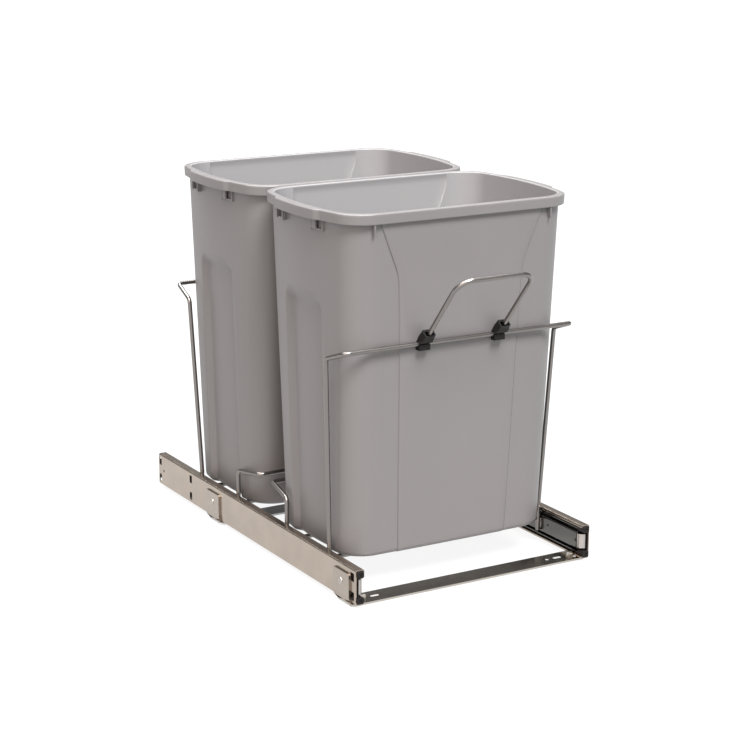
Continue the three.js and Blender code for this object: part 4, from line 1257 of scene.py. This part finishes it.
@dataclass(frozen=True)
class BinShape:
    """Driving sizes of a bin; heights are above its floor.

    Attributes:
        floor_z: Underside of the bin.
        height: Whole height.
        wall: Thickness.
        half_x: Middle of a short side, at the top.
        half_y: Middle of a long side, at the top.
        bow_x: How far a short side's ends stand back from its middle.
        bow_y: How far a long side's ends stand back from its middle.
        corner: Size of the upright corners.
        taper_x: Draft of the short sides, per millimetre of height.
        taper_y: Draft of the long sides.
        floor_fillet: Radius at the edge of the floor.
        overhang: How far the rim stands out from the wall.
        skirt: How far the rim hangs down from the top.
        rim_sheet: Thickness of the rim.
        grip_step: How much further the rim stands out along the side grips.
        grip_half: Half the length of a side grip.
        grip_ramp: Length of the ramp at each end of a grip.
        recess_top: Upper edge of the short sides' recess.
        recess_depth: Its depth.
        recess_half: Half its width.
        recess_round: Radius of its upper corners.
        recess_ramp: Width of its slope at the top.
        recess_side: Width of its slope at the sides.
        panel_rise: How far the long sides' panel stands out.
        panel_edge: Width of the step at its edge.
        panel_groove: Depth of the groove at the step's foot, as a share of the rise.
        panel_line: (height, half width) of the panel.
    """

    floor_z: float
    height: float = 443.5
    wall: float = 2.5
    half_x: float = 170.5
    half_y: float = 113.4
    bow_x: float = 16.5
    bow_y: float = 2.0
    corner: float = 30.0
    taper_x: float = 0.031
    taper_y: float = 0.039
    floor_fillet: float = 7.0
    overhang: float = 6.0
    skirt: float = 13.4
    rim_sheet: float = 2.2
    grip_step: float = 4.5
    grip_half: float = 48.5
    grip_ramp: float = 9.0
    recess_top: float = 333.0
    recess_depth: float = 7.0
    recess_half: float = 46.5
    recess_round: float = 20.0
    recess_ramp: float = 18.0
    recess_side: float = 10.0
    panel_rise: float = 1.2
    panel_edge: float = 1.8
    panel_groove: float = 0.5
    panel_line: tuple[tuple[float, float], ...] = (
        (8.0, 80.0),
        (33.0, 81.0),
        (200.0, 84.6),
        (312.0, 87.5),
        (333.0, 88.8),
        (352.0, 89.6),
        (366.0, 91.8),
        (432.0, 118.5),
    )

    def recess(self, y: np.ndarray, height: np.ndarray) -> np.ndarray:
        """Depth of the short sides' recess.

        The recess is a rectangle with rounded upper corners. A point's distance inside it is
        the corner radius minus the length of what it lacks of that radius in Y and in height.
        The depth grows evenly over a slope that is wide at the top and narrow at the sides.

        Args:
            y: Distance from the middle of the side.
            height: Height above the floor.

        Returns:
            Depth inwards, in the broadcast shape.
        """
        r = self.recess_round
        lack_y = np.maximum(0.0, r - (self.recess_half - y))
        lack_h = np.maximum(0.0, r - (self.recess_top - height))
        lack = np.hypot(lack_y, lack_h)
        steep = (lack_h / np.maximum(lack, 1e-6)) ** 2
        slope = self.recess_side + (self.recess_ramp - self.recess_side) * steep
        return self.recess_depth * np.clip((r - lack) / slope, 0.0, 1.0)

    def short_wall(self, half_x: np.ndarray, y: np.ndarray) -> np.ndarray:
        """The parabola of a short side.

        Args:
            half_x: Where the side's middle is, level by level.
            y: Distance from that middle.

        Returns:
            X of the side.
        """
        return half_x - self.bow_x * (y / self.half_y) ** 2

    def long_wall(self, half_y: np.ndarray, x: np.ndarray) -> np.ndarray:
        """The parabola of a long side.

        Args:
            half_y: Where the side's middle is, level by level.
            x: Distance from that middle.

        Returns:
            Y of the side.
        """
        return half_y - self.bow_y * (x / self.half_x) ** 2

    def corner_bend(self, half_x: np.ndarray, half_y: np.ndarray) -> np.ndarray:
        """A corner: a cubic Bezier curve with its handles at 0.55 of the corner size.

        Args:
            half_x: Where the short side's middle is, level by level.
            half_y: Where the long side's middle is.

        Returns:
            (m, n, 2) points after the short side's last one.
        """
        corner_y = half_y - self.corner
        corner_x = self.short_wall(half_x, half_y) - self.corner
        start = np.concatenate([self.short_wall(half_x, corner_y), corner_y], axis=1)
        end = np.concatenate([corner_x, self.long_wall(half_y, corner_x)], axis=1)
        pull = self.corner * 0.55
        slope = 2.0 * self.bow_x * corner_y / self.half_y**2
        leave = np.concatenate([-slope, np.ones_like(slope)], axis=1)
        leave = start + pull * leave / np.linalg.norm(leave, axis=1, keepdims=True)
        fall = -2.0 * self.bow_y * corner_x / self.half_x**2
        reach = np.concatenate([np.ones_like(fall), fall], axis=1)
        reach = end + pull * reach / np.linalg.norm(reach, axis=1, keepdims=True)
        t = np.linspace(0.0, 1.0, 15)[1:, None]
        return (
            (1 - t) ** 3 * start[:, None]
            + 3 * (1 - t) ** 2 * t * leave[:, None]
            + 3 * (1 - t) * t**2 * reach[:, None]
            + t**3 * end[:, None]
        )

    def panel_steps(self, height: np.ndarray, start: np.ndarray) -> tuple[np.ndarray, np.ndarray]:
        """Points along a long side, close together where the panel's edge is.

        The panel's share of its rise eases in across the panel's edge, less a fine groove at the
        step's foot.

        Args:
            height: Height above the floor, level by level.
            start: X of the corner's last point.

        Returns:
            X of the points and the panel's share there.
        """
        heights, halves = np.array(self.panel_line).T
        line = np.interp(height, heights, halves)
        line = np.minimum(line, start - 3.0 * self.panel_edge)
        outer = start + (line + self.panel_edge - start) * np.array([[0.35, 0.7, 1.0]])
        edge = line + self.panel_edge * np.array([[0.8, 0.6, 0.4, 0.2]])
        inner = line * np.linspace(1.0, 0.0, 11)[None, :]
        x = np.concatenate([outer, edge, inner], axis=1)
        step = (line + self.panel_edge - x) / self.panel_edge
        return x, smooth(step) - self.panel_groove * smooth(1.5 - 4.0 * np.abs(step - 0.3))

    def rings(self, levels: np.ndarray) -> np.ndarray:
        """Outlines of the bin at several levels.

        Each quarter goes from the middle of a short side, which is a parabola less the recess,
        round the corner to the middle of a long side, which is a parabola plus the panel.

        Args:
            levels: (m, 5): height, outward offset, rim step, share of recess, share of panel.

        Returns:
            (m, n, 3) rings about the bin's own middle.
        """
        height, offset, step, recess, panel = (levels[:, k : k + 1] for k in range(5))
        drop = self.height - height
        half_x = self.half_x - self.taper_x * drop + offset
        half_y = self.half_y - self.taper_y * drop + offset
        y = (half_y - self.corner) * np.linspace(0.0, 1.0, 36)[None, :]
        rise = step * smooth((self.grip_half + self.grip_ramp - y) / self.grip_ramp)
        x = self.short_wall(half_x, y) - recess * self.recess(y, height) + rise
        side = np.stack([x, y], axis=-1)
        bend = self.corner_bend(half_x, half_y)
        x, share = self.panel_steps(height, self.short_wall(half_x, half_y) - self.corner)
        y = self.long_wall(half_y, x) + panel * self.panel_rise * share
        quarter = np.concatenate([side, bend, np.stack([x, y], axis=-1)], axis=1)
        half = np.concatenate([quarter, quarter[:, -2::-1] * [-1.0, 1.0]], axis=1)
        whole = np.concatenate([half, half[:, -2:0:-1] * [1.0, -1.0]], axis=1)
        rings = np.empty((*whole.shape[:2], 3))
        rings[..., :2] = whole
        rings[..., 2] = self.floor_z + height
        return rings

    def levels(self) -> np.ndarray:
        """The rows that the skin passes through, from under the floor to inside it.

        Returns:
            (m, 5), as rings() reads them.
        """
        top, f, w = self.height, self.floor_fillet, self.wall
        lip, inside, g = self.overhang, self.overhang - self.rim_sheet, self.grip_step
        # The underside, the floor's edge and the wall, with close rows where the recess starts.
        arc = np.linspace(math.pi / 2.0, 0.0, 8)
        rows: list[tuple[float, ...]] = [(0.0, -f - 12.0, 0, 1, 1), (0.0, -f - 2.0, 0, 1, 1)]
        rows += [(f - f * math.sin(a), f * math.cos(a) - f, 0, 1, 1) for a in arc]
        wall = [*np.arange(14.0, 280.0, 14.0), *np.arange(284.0, 345.0, 3.0)]
        wall += [*np.arange(350.0, 426.0, 7.0), 430.0, 436.0]
        rows += [(h, 0.0, 0, 1, 1) for h in wall]
        # Under the rim, down inside its skirt and round the skirt's lower edge.
        rows += [(top - self.rim_sheet - 0.6, 0.0, 0, 0, 1), (top - self.rim_sheet, 0.6, 0, 0, 1)]
        rows += [(top - self.rim_sheet, inside - 0.5, g, 0, 0), (top - 3.0, inside, g, 0, 0)]
        bottom = top - self.skirt
        rows += [(bottom + 0.6, inside, g, 0, 0), (bottom + 0.1, inside + 0.4, g, 0, 0)]
        rows += [(bottom, inside + 0.8, g, 0, 0), (bottom, lip - 0.8, g, 0, 0)]
        rows += [(bottom + 0.2, lip - 0.25, g, 0, 0), (bottom + 0.8, lip, g, 0, 0)]
        # Up the skirt's face, round its outer edge, over the top and round the inner edge.
        rows += [(bottom + h, lip, g, 0, 0) for h in (1.6, 5.0, 9.0)]
        r = 2.0
        for a in np.linspace(0.0, math.pi / 2.0, 6):
            rows.append((top - r + r * math.sin(a), lip - r + r * math.cos(a), g, 0, 0))
        rows += [(top, 1.2, 0.4 * g, 0, 0), (top, -w + 1.6, 0, 0, 0)]
        r = 1.2
        for a in np.linspace(math.pi / 2.0, 0.0, 5)[1:]:
            rows.append((top - r + r * math.sin(a), -w + r - r * math.cos(a), 0, 0, 0))
        # Down the inside of the wall, round the floor's edge and onto the floor.
        rows += [(top - 2.2, -w, 0, 0, 0), (top - 5.0, -w, 0, 0, 1), (top - 12.0, -w, 0, 1, 1)]
        rows += [(h, -w, 0, 1, 1) for h in reversed(wall) if h < top - 16.0 and h > w + f]
        arc = np.linspace(0.0, math.pi / 2.0, 7)
        rows += [(w + f - f * math.sin(a), -w - f + f * math.cos(a), 0, 1, 1) for a in arc]
        rows += [(w, -w - f - 3.0, 0, 1, 1), (w, -w - f - 14.0, 0, 1, 1)]
        return np.array(rows, dtype=float)


@dataclass
class Bin(Assembly):
    """One waste bin with its rim, recesses, panels, ribs and catches.

    Attributes:
        end: Front or rear.
        middle_y: Its middle.
        shape: Its sizes.
        rib_x: X of the ribs on the long sides.
        catch_y: Middle of a catch, from the middle of the short side.
        catch_width: Width over a catch's ribs.
        catch_deep: How far a catch's ribs stand out from the wall.
        cover_out: How far a covered catch's cover stands out.
        sill: How far the outer rib of a covered catch stands out.
        thick: Thickness of ribs, ledges and covers.
        drop: How far the ribs reach below the rim's skirt.
    """

    end: End
    middle_y: float
    shape: BinShape
    rib_x: float = 129.0
    catch_y: float = 46.0
    catch_width: float = 22.0
    catch_deep: float = 5.4
    cover_out: float = 5.1
    sill: float = 2.2
    thick: float = 2.2
    drop: float = 14.0

    @property
    def low(self) -> float:
        """Z of the ribs' lower ends."""
        s = self.shape
        return s.floor_z + s.height - s.skirt - self.drop

    @property
    def covered_z(self) -> float:
        """Z of the middle of the rim's skirt, which covers the ribs' upper ends."""
        s = self.shape
        return s.floor_z + s.height - s.skirt / 2.0

    def wall_x(self, y: float) -> float:
        """X of a short side's wall where the skirt ends, at a distance from its middle."""
        s = self.shape
        return s.half_x - s.taper_x * s.skirt - s.bow_x * (y / s.half_y) ** 2

    def rib(self, wall: float, reach: float) -> np.ndarray:
        """Side view of a rib below the rim: its outer edge slopes back at the bottom.

        Args:
            wall: Where the wall's face is.
            reach: How far the rib stands out.

        Returns:
            Outline of (distance from the middle, z).
        """
        low, high, root = self.low, self.covered_z, wall - self.shape.wall / 2.0
        shape = [(root, low), (wall + reach * 0.8, low), (wall + reach, low + self.thick)]
        return np.array([*shape, (wall + reach, high), (root, high)])

    def catch(self, sx: float, sy: float) -> list[Skin]:
        """A U-shaped catch on a short side: two ribs and a ledge, and a cover at two corners.

        Args:
            sx: The corner's sign of X.
            sy: Its sign of Y.

        Returns:
            The skins about the bin's middle.
        """
        half, covered, low = self.thick / 2.0, sx * sy > 0.0, self.low
        edges = [self.catch_y + k * (self.catch_width / 2.0 - half) for k in (-1.0, 1.0)]
        reach = (self.catch_deep, self.sill if covered else self.catch_deep)
        skins: list[Skin] = []
        for y, out in zip(edges, reach):
            short = self.rib(self.wall_x(y), out) * [sx, 1.0]
            skins.append(prism(short, sy * y - half, sy * y + half, Plane.XZ))
        root, share, raised = 1.2, 0.7, 0.3
        (near_y, far_y), (near, far) = edges, (self.wall_x(y) for y in edges)
        ledge = [(near - root, near_y), (near + share * reach[0], near_y)]
        ledge += [(far + share * reach[1], far_y), (far - root, far_y)]
        plan = np.array(ledge) * [sx, sy]
        skins.append(prism(plan, low + raised, low + raised + self.thick, Plane.XY))
        if covered:
            ends = [(self.wall_x(y) + self.cover_out, y) for y in (near_y, self.catch_y)]
            back = [(x - self.thick, y) for x, y in reversed(ends)]
            plan = np.array([*ends, *back]) * [sx, sy]
            skins.append(prism(plan, low + self.thick, self.covered_z - 1.0, Plane.XY))
        return skins

    def ribs(self) -> list[Skin]:
        """A rib on the long side and a catch on the short side at each corner.

        Returns:
            Their skins about the bin's middle.
        """
        s, half = self.shape, self.thick / 2.0
        wall_y = s.half_y - s.taper_y * s.skirt - s.bow_y * (self.rib_x / s.half_x) ** 2
        skins: list[Skin] = []
        for sx in (-1.0, 1.0):
            for sy in (-1.0, 1.0):
                long = self.rib(wall_y, s.overhang - s.rim_sheet / 2.0) * [sy, 1.0]
                x = sx * self.rib_x
                skins.append(prism(long, x - half, x + half, Plane.YZ))
                skins += self.catch(sx, sy)
        return skins

    def mark_inside_painted_light(self, piece: bpy.types.Object) -> None:
        """Mark the surface that faces the bin's inside, with 1 there and 0 elsewhere, for the
        painted light that makes it lighter.

        A point is inside where it lies deeper than four tenths of the wall below the wall's outer
        face and its normal leans towards the bin's middle line or, near the floor, upwards.

        Args:
            piece: The bin's object.
        """
        s, mesh = self.shape, piece.data
        spots = read_vectors(mesh.vertices, "co") / MM
        normal = read_vectors(mesh.vertex_normals, "vector")
        x, y, z = (spots - [0.0, self.middle_y, s.floor_z]).T
        drop = s.height - z
        beyond_x = np.abs(x) - s.half_x + s.taper_x * drop + s.bow_x * (y / s.half_y) ** 2
        beyond_y = np.abs(y) - s.half_y + s.taper_y * drop + s.bow_y * (x / s.half_x) ** 2
        inward = -(normal[:, 0] * x + normal[:, 1] * y) / np.maximum(1.0, np.hypot(x, y))
        on_floor = (z < s.wall + s.floor_fillet) & (normal[:, 2] > 0.1)
        deep = np.maximum(beyond_x, beyond_y) < -0.4 * s.wall
        share = deep * np.maximum(smooth(3.0 * inward), on_floor)
        # Where this mark is 1, the material paints the plastic lighter: painted light.
        mark = mesh.attributes.new("inside", "FLOAT", "POINT")
        mark.data.foreach_set("value", share.astype(np.float32))

    def build(self) -> None:
        """Build the bin."""
        shell = Skin.loft(self.shape.rings(self.shape.levels()))
        skin = shell.joined(*self.ribs()).moved((0.0, self.middle_y, 0.0))
        node = f"bin_{self.end.label}"
        piece = self.publish(f"{node}_moulded", skin, GREY, f"{self.end.label}_bin_body", [node])
        self.mark_inside_painted_light(piece)


@dataclass
class Carriage(Assembly):
    """The welded wire carriage: tall and short hoops and the rods under the bins.

    Attributes:
        middle_y: Middle between the bins.
        bins: The bins' shape, which the hoops' runs follow.
        bin_pitch: Distance between the bins' middles.
        bend: Radius of the wires' bends.
        clearance: From a hoop's run to the bin's panel.
        foot_z: Lower end of a leg.
        knee_z: Where a tall hoop's legs start to lean.
        lean_x: How far they have leaned outwards at the top.
        lean_y: How far they have leaned at the top along Y, away from the middle.
        tall_leg_z: Top of a tall hoop's legs.
        tall_run_z: Height of its run.
        tall_tuck: How far the run's ends lie inwards of the legs' tops.
        tall_offset: From the middle to a tall hoop's feet, along Y.
        short_leg_z: Top of a short hoop's legs.
        short_run_z: Height of its run.
        short_tuck: How far the run's ends lie inwards of the legs.
        short_offset: From the middle to a short hoop's feet, along Y.
        rod_shift: How far the rods from slide to slide stand in front of the nearest legs.
        weld_z: Height of the beads beside a leg.
        weld_out: How far their middle lies outside the leg's, towards the slide.
        weld_off: How far they lie in front of and behind the leg's middle.
    """

    middle_y: float
    bins: BinShape
    bin_pitch: float = 243.4
    bend: float = 8.0
    clearance: float = 1.7
    foot_z: float = 17.0
    knee_z: float = 51.0
    lean_x: float = 10.5
    lean_y: float = 9.8
    tall_leg_z: float = 298.0
    tall_run_z: float = 312.6
    tall_tuck: float = 3.0
    tall_offset: float = 182.7
    short_leg_z: float = 82.0
    short_run_z: float = 89.0
    short_tuck: float = 6.0
    short_offset: float = 70.0
    rod_shift: float = 26.0
    weld_z: float = 27.0
    weld_out: float = 2.6
    weld_off: float = 2.7

    def run_y(self, end: End, sign: float, z: float) -> float:
        """Where a hoop's run passes a bin's raised panel.

        Args:
            end: The bin.
            sign: The bin's front face, -1, or its rear face, 1.
            z: The run's height.

        Returns:
            Y of the wire's middle.
        """
        s = self.bins
        half = s.half_y - s.taper_y * (s.floor_z + s.height - z) + s.panel_rise
        middle = self.middle_y + end.value * self.bin_pitch / 2.0
        return middle + sign * (half + self.clearance + WIRE / 2.0)

    def hoop(self, half: list[tuple[float, float, float]]) -> Skin:
        """A hoop mirrored about the middle plane.

        Args:
            half: Corners from the right foot up.

        Returns:
            The skin.
        """
        corners = [*[(-x, y, z) for x, y, z in half], *reversed(half)]
        return tube(fillet(corners, self.bend, 10, closed=False), WIRE / 2.0)

    def welds(self, spots: Sequence[tuple[float, float, float]]) -> Skin:
        """Flat weld beads beside wires that stand against another piece.

        Args:
            spots: Where the beads are centred.

        Returns:
            The skins as one.
        """
        bead = [(0.01, -1.1), (0.9, -0.9), (1.5, 0.0), (0.9, 0.9), (0.01, 1.1)]
        stretch = np.diag([0.8, 1.5, 6.5])
        beads = [lathe(bead, 14).moved(spot, stretch) for spot in spots]
        return beads[0].joined(*beads[1:])

    def build(self) -> None:
        """Build the hoops, the rods and their welds."""
        between_members = INNER_FACE - GAP
        leg_x = between_members - WIRE / 2.0
        between_legs = leg_x - WIRE / 2.0 - GAP
        legs: dict[str, float] = {}
        for end in End:
            sign = float(end.value)
            leg = self.middle_y + sign * self.tall_offset
            run = self.run_y(end, sign, self.tall_run_z)
            top_x = leg_x + self.lean_x
            half = [(leg_x, leg, self.foot_z), (leg_x, leg, self.knee_z)]
            half += [(top_x, leg + sign * self.lean_y, self.tall_leg_z)]
            half += [(top_x - self.tall_tuck, run, self.tall_run_z)]
            node = f"tall_hoop_{end.label}"
            self.publish(f"{node}_drawn", self.hoop(half), NICKEL, "carriage", [node])
            legs[node] = leg
            leg = self.middle_y + sign * self.short_offset
            run = self.run_y(end, -sign, self.short_run_z)
            half = [(leg_x, leg, self.foot_z), (leg_x, leg, self.short_leg_z)]
            half += [(leg_x - self.short_tuck, run, self.short_run_z)]
            node = f"short_hoop_{end.label}"
            self.publish(f"{node}_drawn", self.hoop(half), NICKEL, "carriage", [node])
            legs[node] = leg
        seams: list[tuple[float, float, float]] = []
        for leg in legs.values():
            for side in Side:
                x = side.value * (leg_x + self.weld_out)
                seams += [(x, leg + k * self.weld_off, self.weld_z) for k in (-1.0, 1.0)]
        self.publish("leg_welds", self.welds(seams), NICKEL, "carriage", crease=80.0)
        rods = [
            (legs["tall_hoop_front"], between_legs),
            (legs["short_hoop_front"] - self.rod_shift, between_members),
            (legs["short_hoop_rear"], between_legs),
            (legs["tall_hoop_rear"] - self.rod_shift, between_members),
        ]
        z = self.bins.floor_z - WIRE / 2.0 - GAP
        for number, (y, half_length) in enumerate(rods, 1):
            line = np.linspace((-half_length, y, z), (half_length, y, z), 6)
            node = f"bin_rod_{number}"
            skin = tube(line, WIRE / 2.0, chamfer=0.3)
            self.publish(f"{node}_drawn", skin, NICKEL, "carriage", [node])


@dataclass
class Handle(Assembly):
    """The leaning pull handle and its two clips on the front hoop.

    Attributes:
        pivot_y: Y of the front hoop's run.
        pivot_z: Its height.
        middle_x: Middle of the handle.
        lean: Angle between the handle and the ground, in degrees.
        reach: From the hoop's wire to the handle's run.
        spread: Between the middles of the handle's legs.
        bend: Radius of its two bends.
        lift: How far its legs lie behind the line through the hoop's wire; negative is in front.
        seat: Where its legs end in the clips, from the hoop's wire.
        clip_width: Width of a clip.
        clip_length: Length of a socket, from the hoop's wire.
        mouth_width: Width of the hole in a socket's mouth.
        mouth_depth: Length of the mouth.
        clip_front: Front face of the socket, from the handle's wire.
        clip_back: Its rear face.
        neck: How far a clip's back stands behind the hoop's wire where socket and jaw meet.
        jaw_depth: How far a jaw hangs below the wire's middle.
        jaw_front: How far it reaches in front of the wire's middle.
        jaw_back: How far its foot reaches behind the wire's middle.
        jaw_part: From the wire's middle down to where the jaw begins at the back.
    """

    pivot_y: float
    pivot_z: float
    middle_x: float = -1.5
    lean: float = 49.8
    reach: float = 121.6
    spread: float = 111.3
    bend: float = 21.2
    lift: float = -1.0
    seat: float = 9.0
    clip_width: float = 15.5
    clip_length: float = 21.5
    mouth_width: float = 11.2
    mouth_depth: float = 6.0
    clip_front: float = 4.2
    clip_back: float = 6.5
    neck: float = 4.2
    jaw_depth: float = 8.0
    jaw_front: float = 5.0
    jaw_back: float = 4.4
    jaw_part: float = 1.8

    @property
    def slope(self) -> tuple[float, float]:
        """Cosine and sine of the lean."""
        return math.cos(math.radians(self.lean)), math.sin(math.radians(self.lean))

    def leaning(self, along: float, behind: float) -> tuple[float, float]:
        """A point in the handle's own axes.

        Args:
            along: Distance up the lean.
            behind: Distance behind it.

        Returns:
            (y, z) in the frame.
        """
        c, s = self.slope
        return (self.pivot_y - c * along + s * behind, self.pivot_z + s * along + c * behind)

    def grooved(self, outline: list[tuple[float, float]], start: float, stop: float) -> np.ndarray:
        """Close an outline with an arc round the hoop's wire.

        Args:
            outline: (y, z) points outside the wire.
            start: Angle of the arc's first point, in degrees from +Y towards +Z.
            stop: Angle of its last point.

        Returns:
            The closed outline.
        """
        r = WIRE / 2.0 + GAP
        angle = np.radians(np.linspace(start, stop, 13))
        arc = [self.pivot_y, self.pivot_z] + r * np.stack([np.cos(angle), np.sin(angle)], axis=1)
        return np.vstack([np.array(outline), arc])

    def socket(self, side: Side) -> None:
        """The clip's socket, which turns with the handle.

        Args:
            side: Which leg of the handle.
        """
        front, back = self.lift - self.clip_front, self.lift + self.clip_back
        tall, shoulder = self.clip_length, self.clip_length - self.mouth_depth
        top = [
            self.leaning(2.2, self.neck + 0.4),
            self.leaning(tall * 0.42, back),
            self.leaning(shoulder, back),
            self.leaning(shoulder, front),
            self.leaning(tall * 0.4, front - 0.8),
            self.leaning(WIRE / 2.0 + 2.3, -self.clip_front),
        ]
        rounded = fillet(top, 1.0, 3, closed=False)
        y, z = self.pivot_y, self.pivot_z
        outline = [(y + self.neck, z + 0.9), *map(tuple, rounded)]
        x = self.middle_x + side.value * self.spread / 2.0
        half = self.clip_width / 2.0
        skin = prism(self.grooved(outline, 180.0, 16.0), x - half, x + half, Plane.YZ)
        c, s = self.slope
        turn = np.array([[1, 0, 0], [0, s, -c], [0, c, s]])
        edge = obround((x, (front + back) / 2.0), (self.clip_width, back - front), 1.2)
        hole = obround((x, self.lift), (self.mouth_width, WIRE + 0.8), 1.4)
        mouth = prism(edge, shoulder - 0.2, tall, Plane.XY, [hole]).moved((0.0, y, z), turn)
        node = f"clip_socket_{side.label}"
        self.publish(f"{node}_moulded", skin.joined(mouth), BLACK, "handle", [node], bevel=0.4)

    def jaw(self, side: Side) -> None:
        """The clip's lower jaw, which stays on the hoop.

        Args:
            side: Which leg of the handle.
        """
        y, z = self.pivot_y, self.pivot_z
        low = [
            (y + self.neck, z - self.jaw_part),
            (y + self.jaw_back, z - self.jaw_depth + 5.0),
            (y + self.jaw_back, z - self.jaw_depth),
            (y - self.jaw_front, z - self.jaw_depth),
            (y - self.jaw_front, z - GAP),
        ]
        shape = self.grooved(list(map(tuple, fillet(low, 1.2, 4, closed=False))), 185.0, 327.0)
        x = self.middle_x + side.value * self.spread / 2.0
        skin = prism(shape, x - self.clip_width / 2.0, x + self.clip_width / 2.0, Plane.YZ)
        node = f"clip_jaw_{side.label}"
        self.publish(f"{node}_moulded", skin, BLACK, "carriage", [node], bevel=0.5)

    def build(self) -> None:
        """Build the handle and both clips."""
        half = self.spread / 2.0
        path = [(-half, self.seat), (-half, self.reach), (half, self.reach), (half, self.seat)]
        corners = [(self.middle_x + x, *self.leaning(along, self.lift)) for x, along in path]
        line = fillet(corners, self.bend, 18, closed=False)
        skin = tube(line, WIRE / 2.0, 24)
        self.publish("handle_wire_drawn", skin, NICKEL, "handle", ["handle_wire"])
        for side in Side:
            self.socket(side)
            self.jaw(side)


# ------------------------------------------------------------------------------- studio


@dataclass(frozen=True)
class Lamp:
    """A distant lamp whose disc is wide enough for soft shadows.

    Attributes:
        name: The lamp's name.
        towards: Direction from the unit to the lamp.
        strength: Irradiance in watts per square metre.
        colour: Colour of its light.
        width: Angle across its disc, in degrees.
    """

    name: str
    towards: tuple[float, float, float]
    strength: float
    colour: tuple[float, float, float] = (1.0, 1.0, 1.0)
    width: float = 60.0

    def build(self) -> None:
        """Make the lamp."""
        lamp = bpy.data.lights.new(self.name, "SUN")
        lamp.energy = self.strength
        lamp.color = self.colour
        lamp.angle = math.radians(self.width)
        light = bpy.data.objects.new(self.name, lamp)
        turn = Vector(self.towards).to_track_quat("Z", "Y").to_matrix().to_4x4()
        light.matrix_world = Matrix.Translation(Vector(self.towards) * 3.0) @ turn
        bpy.context.scene.collection.objects.link(light)
        LOG.info("lit %s", self.name)


@dataclass
class Studio:
    """Floor, light and camera.

    Attributes:
        shift_y: Distance in millimetres from the frame's origin to the slides' middle.
        reach: Half the floor's width, in metres.
        drop: How far the floor lies below the unit, in metres.
        lens: Focal length on a sensor 36 mm wide.
        eye: The camera's place in millimetres, about the slides' middle.
        yaw: Its heading from +Y towards +X, in degrees.
        pitch: Its downward tilt.
        roll: Its roll.
        far: How far the camera sees, in metres.
        ambient: Strength of the surroundings.
        lamps: The lamps.
    """

    shift_y: float
    reach: float = 60.0
    drop: float = 0.0006
    lens: float = 99.16
    eye: tuple[float, float, float] = (-1354.4, -2303.8, 910.4)
    yaw: float = 30.593
    pitch: float = 14.497
    roll: float = 0.269
    far: float = 200.0
    ambient: float = 0.3
    lamps: tuple[Lamp, ...] = (
        Lamp("front", (0.0, -0.57, 0.82), 7.5, width=24.0),
        Lamp("overhead", (0.0, 0.3, 0.95), 6.6, width=60.0),
        Lamp("left", (-0.7, -0.5, 0.6), 2.6, (1.0, 0.84, 0.74)),
    )

    def floor(self) -> None:
        """A wide pale floor."""
        mesh = bpy.data.meshes.new("floor")
        r = self.reach
        mesh.from_pydata([(-r, -r, 0), (r, -r, 0), (r, r, 0), (-r, r, 0)], [], [(0, 1, 2, 3)])
        mesh.materials.append(FLOOR.material())
        floor = bpy.data.objects.new("floor", mesh)
        floor.location.z = -self.drop
        bpy.context.scene.collection.objects.link(floor)

    def camera(self) -> None:
        """The photograph's viewpoint, from its heading, downward tilt and slight roll."""
        yaw, pitch, roll = (math.radians(a) for a in (self.yaw, self.pitch, self.roll))
        flat = math.cos(pitch)
        ahead = Vector((math.sin(yaw) * flat, math.cos(yaw) * flat, -math.sin(pitch)))
        level = Vector((math.cos(yaw), -math.sin(yaw), 0.0))
        upright = level.cross(ahead)
        right = math.cos(roll) * level + math.sin(roll) * upright
        up = math.cos(roll) * upright - math.sin(roll) * level
        lens = bpy.data.cameras.new("camera")
        lens.lens = self.lens
        lens.sensor_width = 36.0
        lens.clip_end = self.far
        lens.dof.use_dof = False
        camera = bpy.data.objects.new("camera", lens)
        place = Vector(self.eye) * MM + Vector((0.0, self.shift_y * MM, 0.0))
        turn = Matrix((right, up, -ahead)).transposed().to_4x4()
        camera.matrix_world = Matrix.Translation(place) @ turn
        bpy.context.scene.collection.objects.link(camera)
        bpy.context.scene.camera = camera

    def light(self) -> None:
        """Even surroundings and wide lamps from above, from the front and from the left."""
        world = bpy.data.worlds.new("studio")
        world.use_nodes = True
        background = world.node_tree.nodes["Background"]
        background.inputs["Color"].default_value = (1.0, 1.0, 1.0, 1.0)
        background.inputs["Strength"].default_value = self.ambient
        bpy.context.scene.world = world
        for lamp in self.lamps:
            lamp.build()

    def build(self) -> None:
        """Set up the studio."""
        bpy.context.scene.view_settings.view_transform = "Standard"
        self.floor()
        self.camera()
        self.light()


# ------------------------------------------------------------------------------- assembly


def frame_node(name: str) -> bpy.types.Object:
    """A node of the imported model.

    Args:
        name: Its name.

    Returns:
        Its object.
    """
    return FRAME["nodes"][name]


def box_mm(name: str) -> tuple[np.ndarray, np.ndarray]:
    """A node's lowest and highest corner.

    Args:
        name: The node's name.

    Returns:
        Both corners in millimetres.
    """
    low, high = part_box(name)
    return np.array(low) / MM, np.array(high) / MM


def main() -> None:
    """Build the studio, then each sub-assembly in order."""
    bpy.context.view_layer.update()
    low, high = box_mm("outer_member_left")
    middle_y, middle_z = (low[1] + high[1]) / 2.0, (low[2] + high[2]) / 2.0
    Studio(middle_y).build()

    for end in End:
        CrossBar(end, box_mm(f"cross_bar_{end.label}")[0][1]).build()
    for side in Side:
        Slide(side, middle_y, middle_z).build()

    shape = BinShape(floor_z=box_mm("bin_front")[0][2])
    middles = {end: sum(box_mm(f"bin_{end.label}"))[1] / 2.0 for end in End}
    carriage = Carriage((middles[End.FRONT] + middles[End.REAR]) / 2.0, shape)
    carriage.build()
    pivot_z = carriage.tall_run_z
    Handle(carriage.run_y(End.FRONT, -1.0, pivot_z), pivot_z).build()
    for end, middle in middles.items():
        Bin(end, middle, shape).build()


if __name__ == "__main__":
    logging.basicConfig(level=logging.INFO, format="%(name)s: %(message)s")
    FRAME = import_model()
    main()
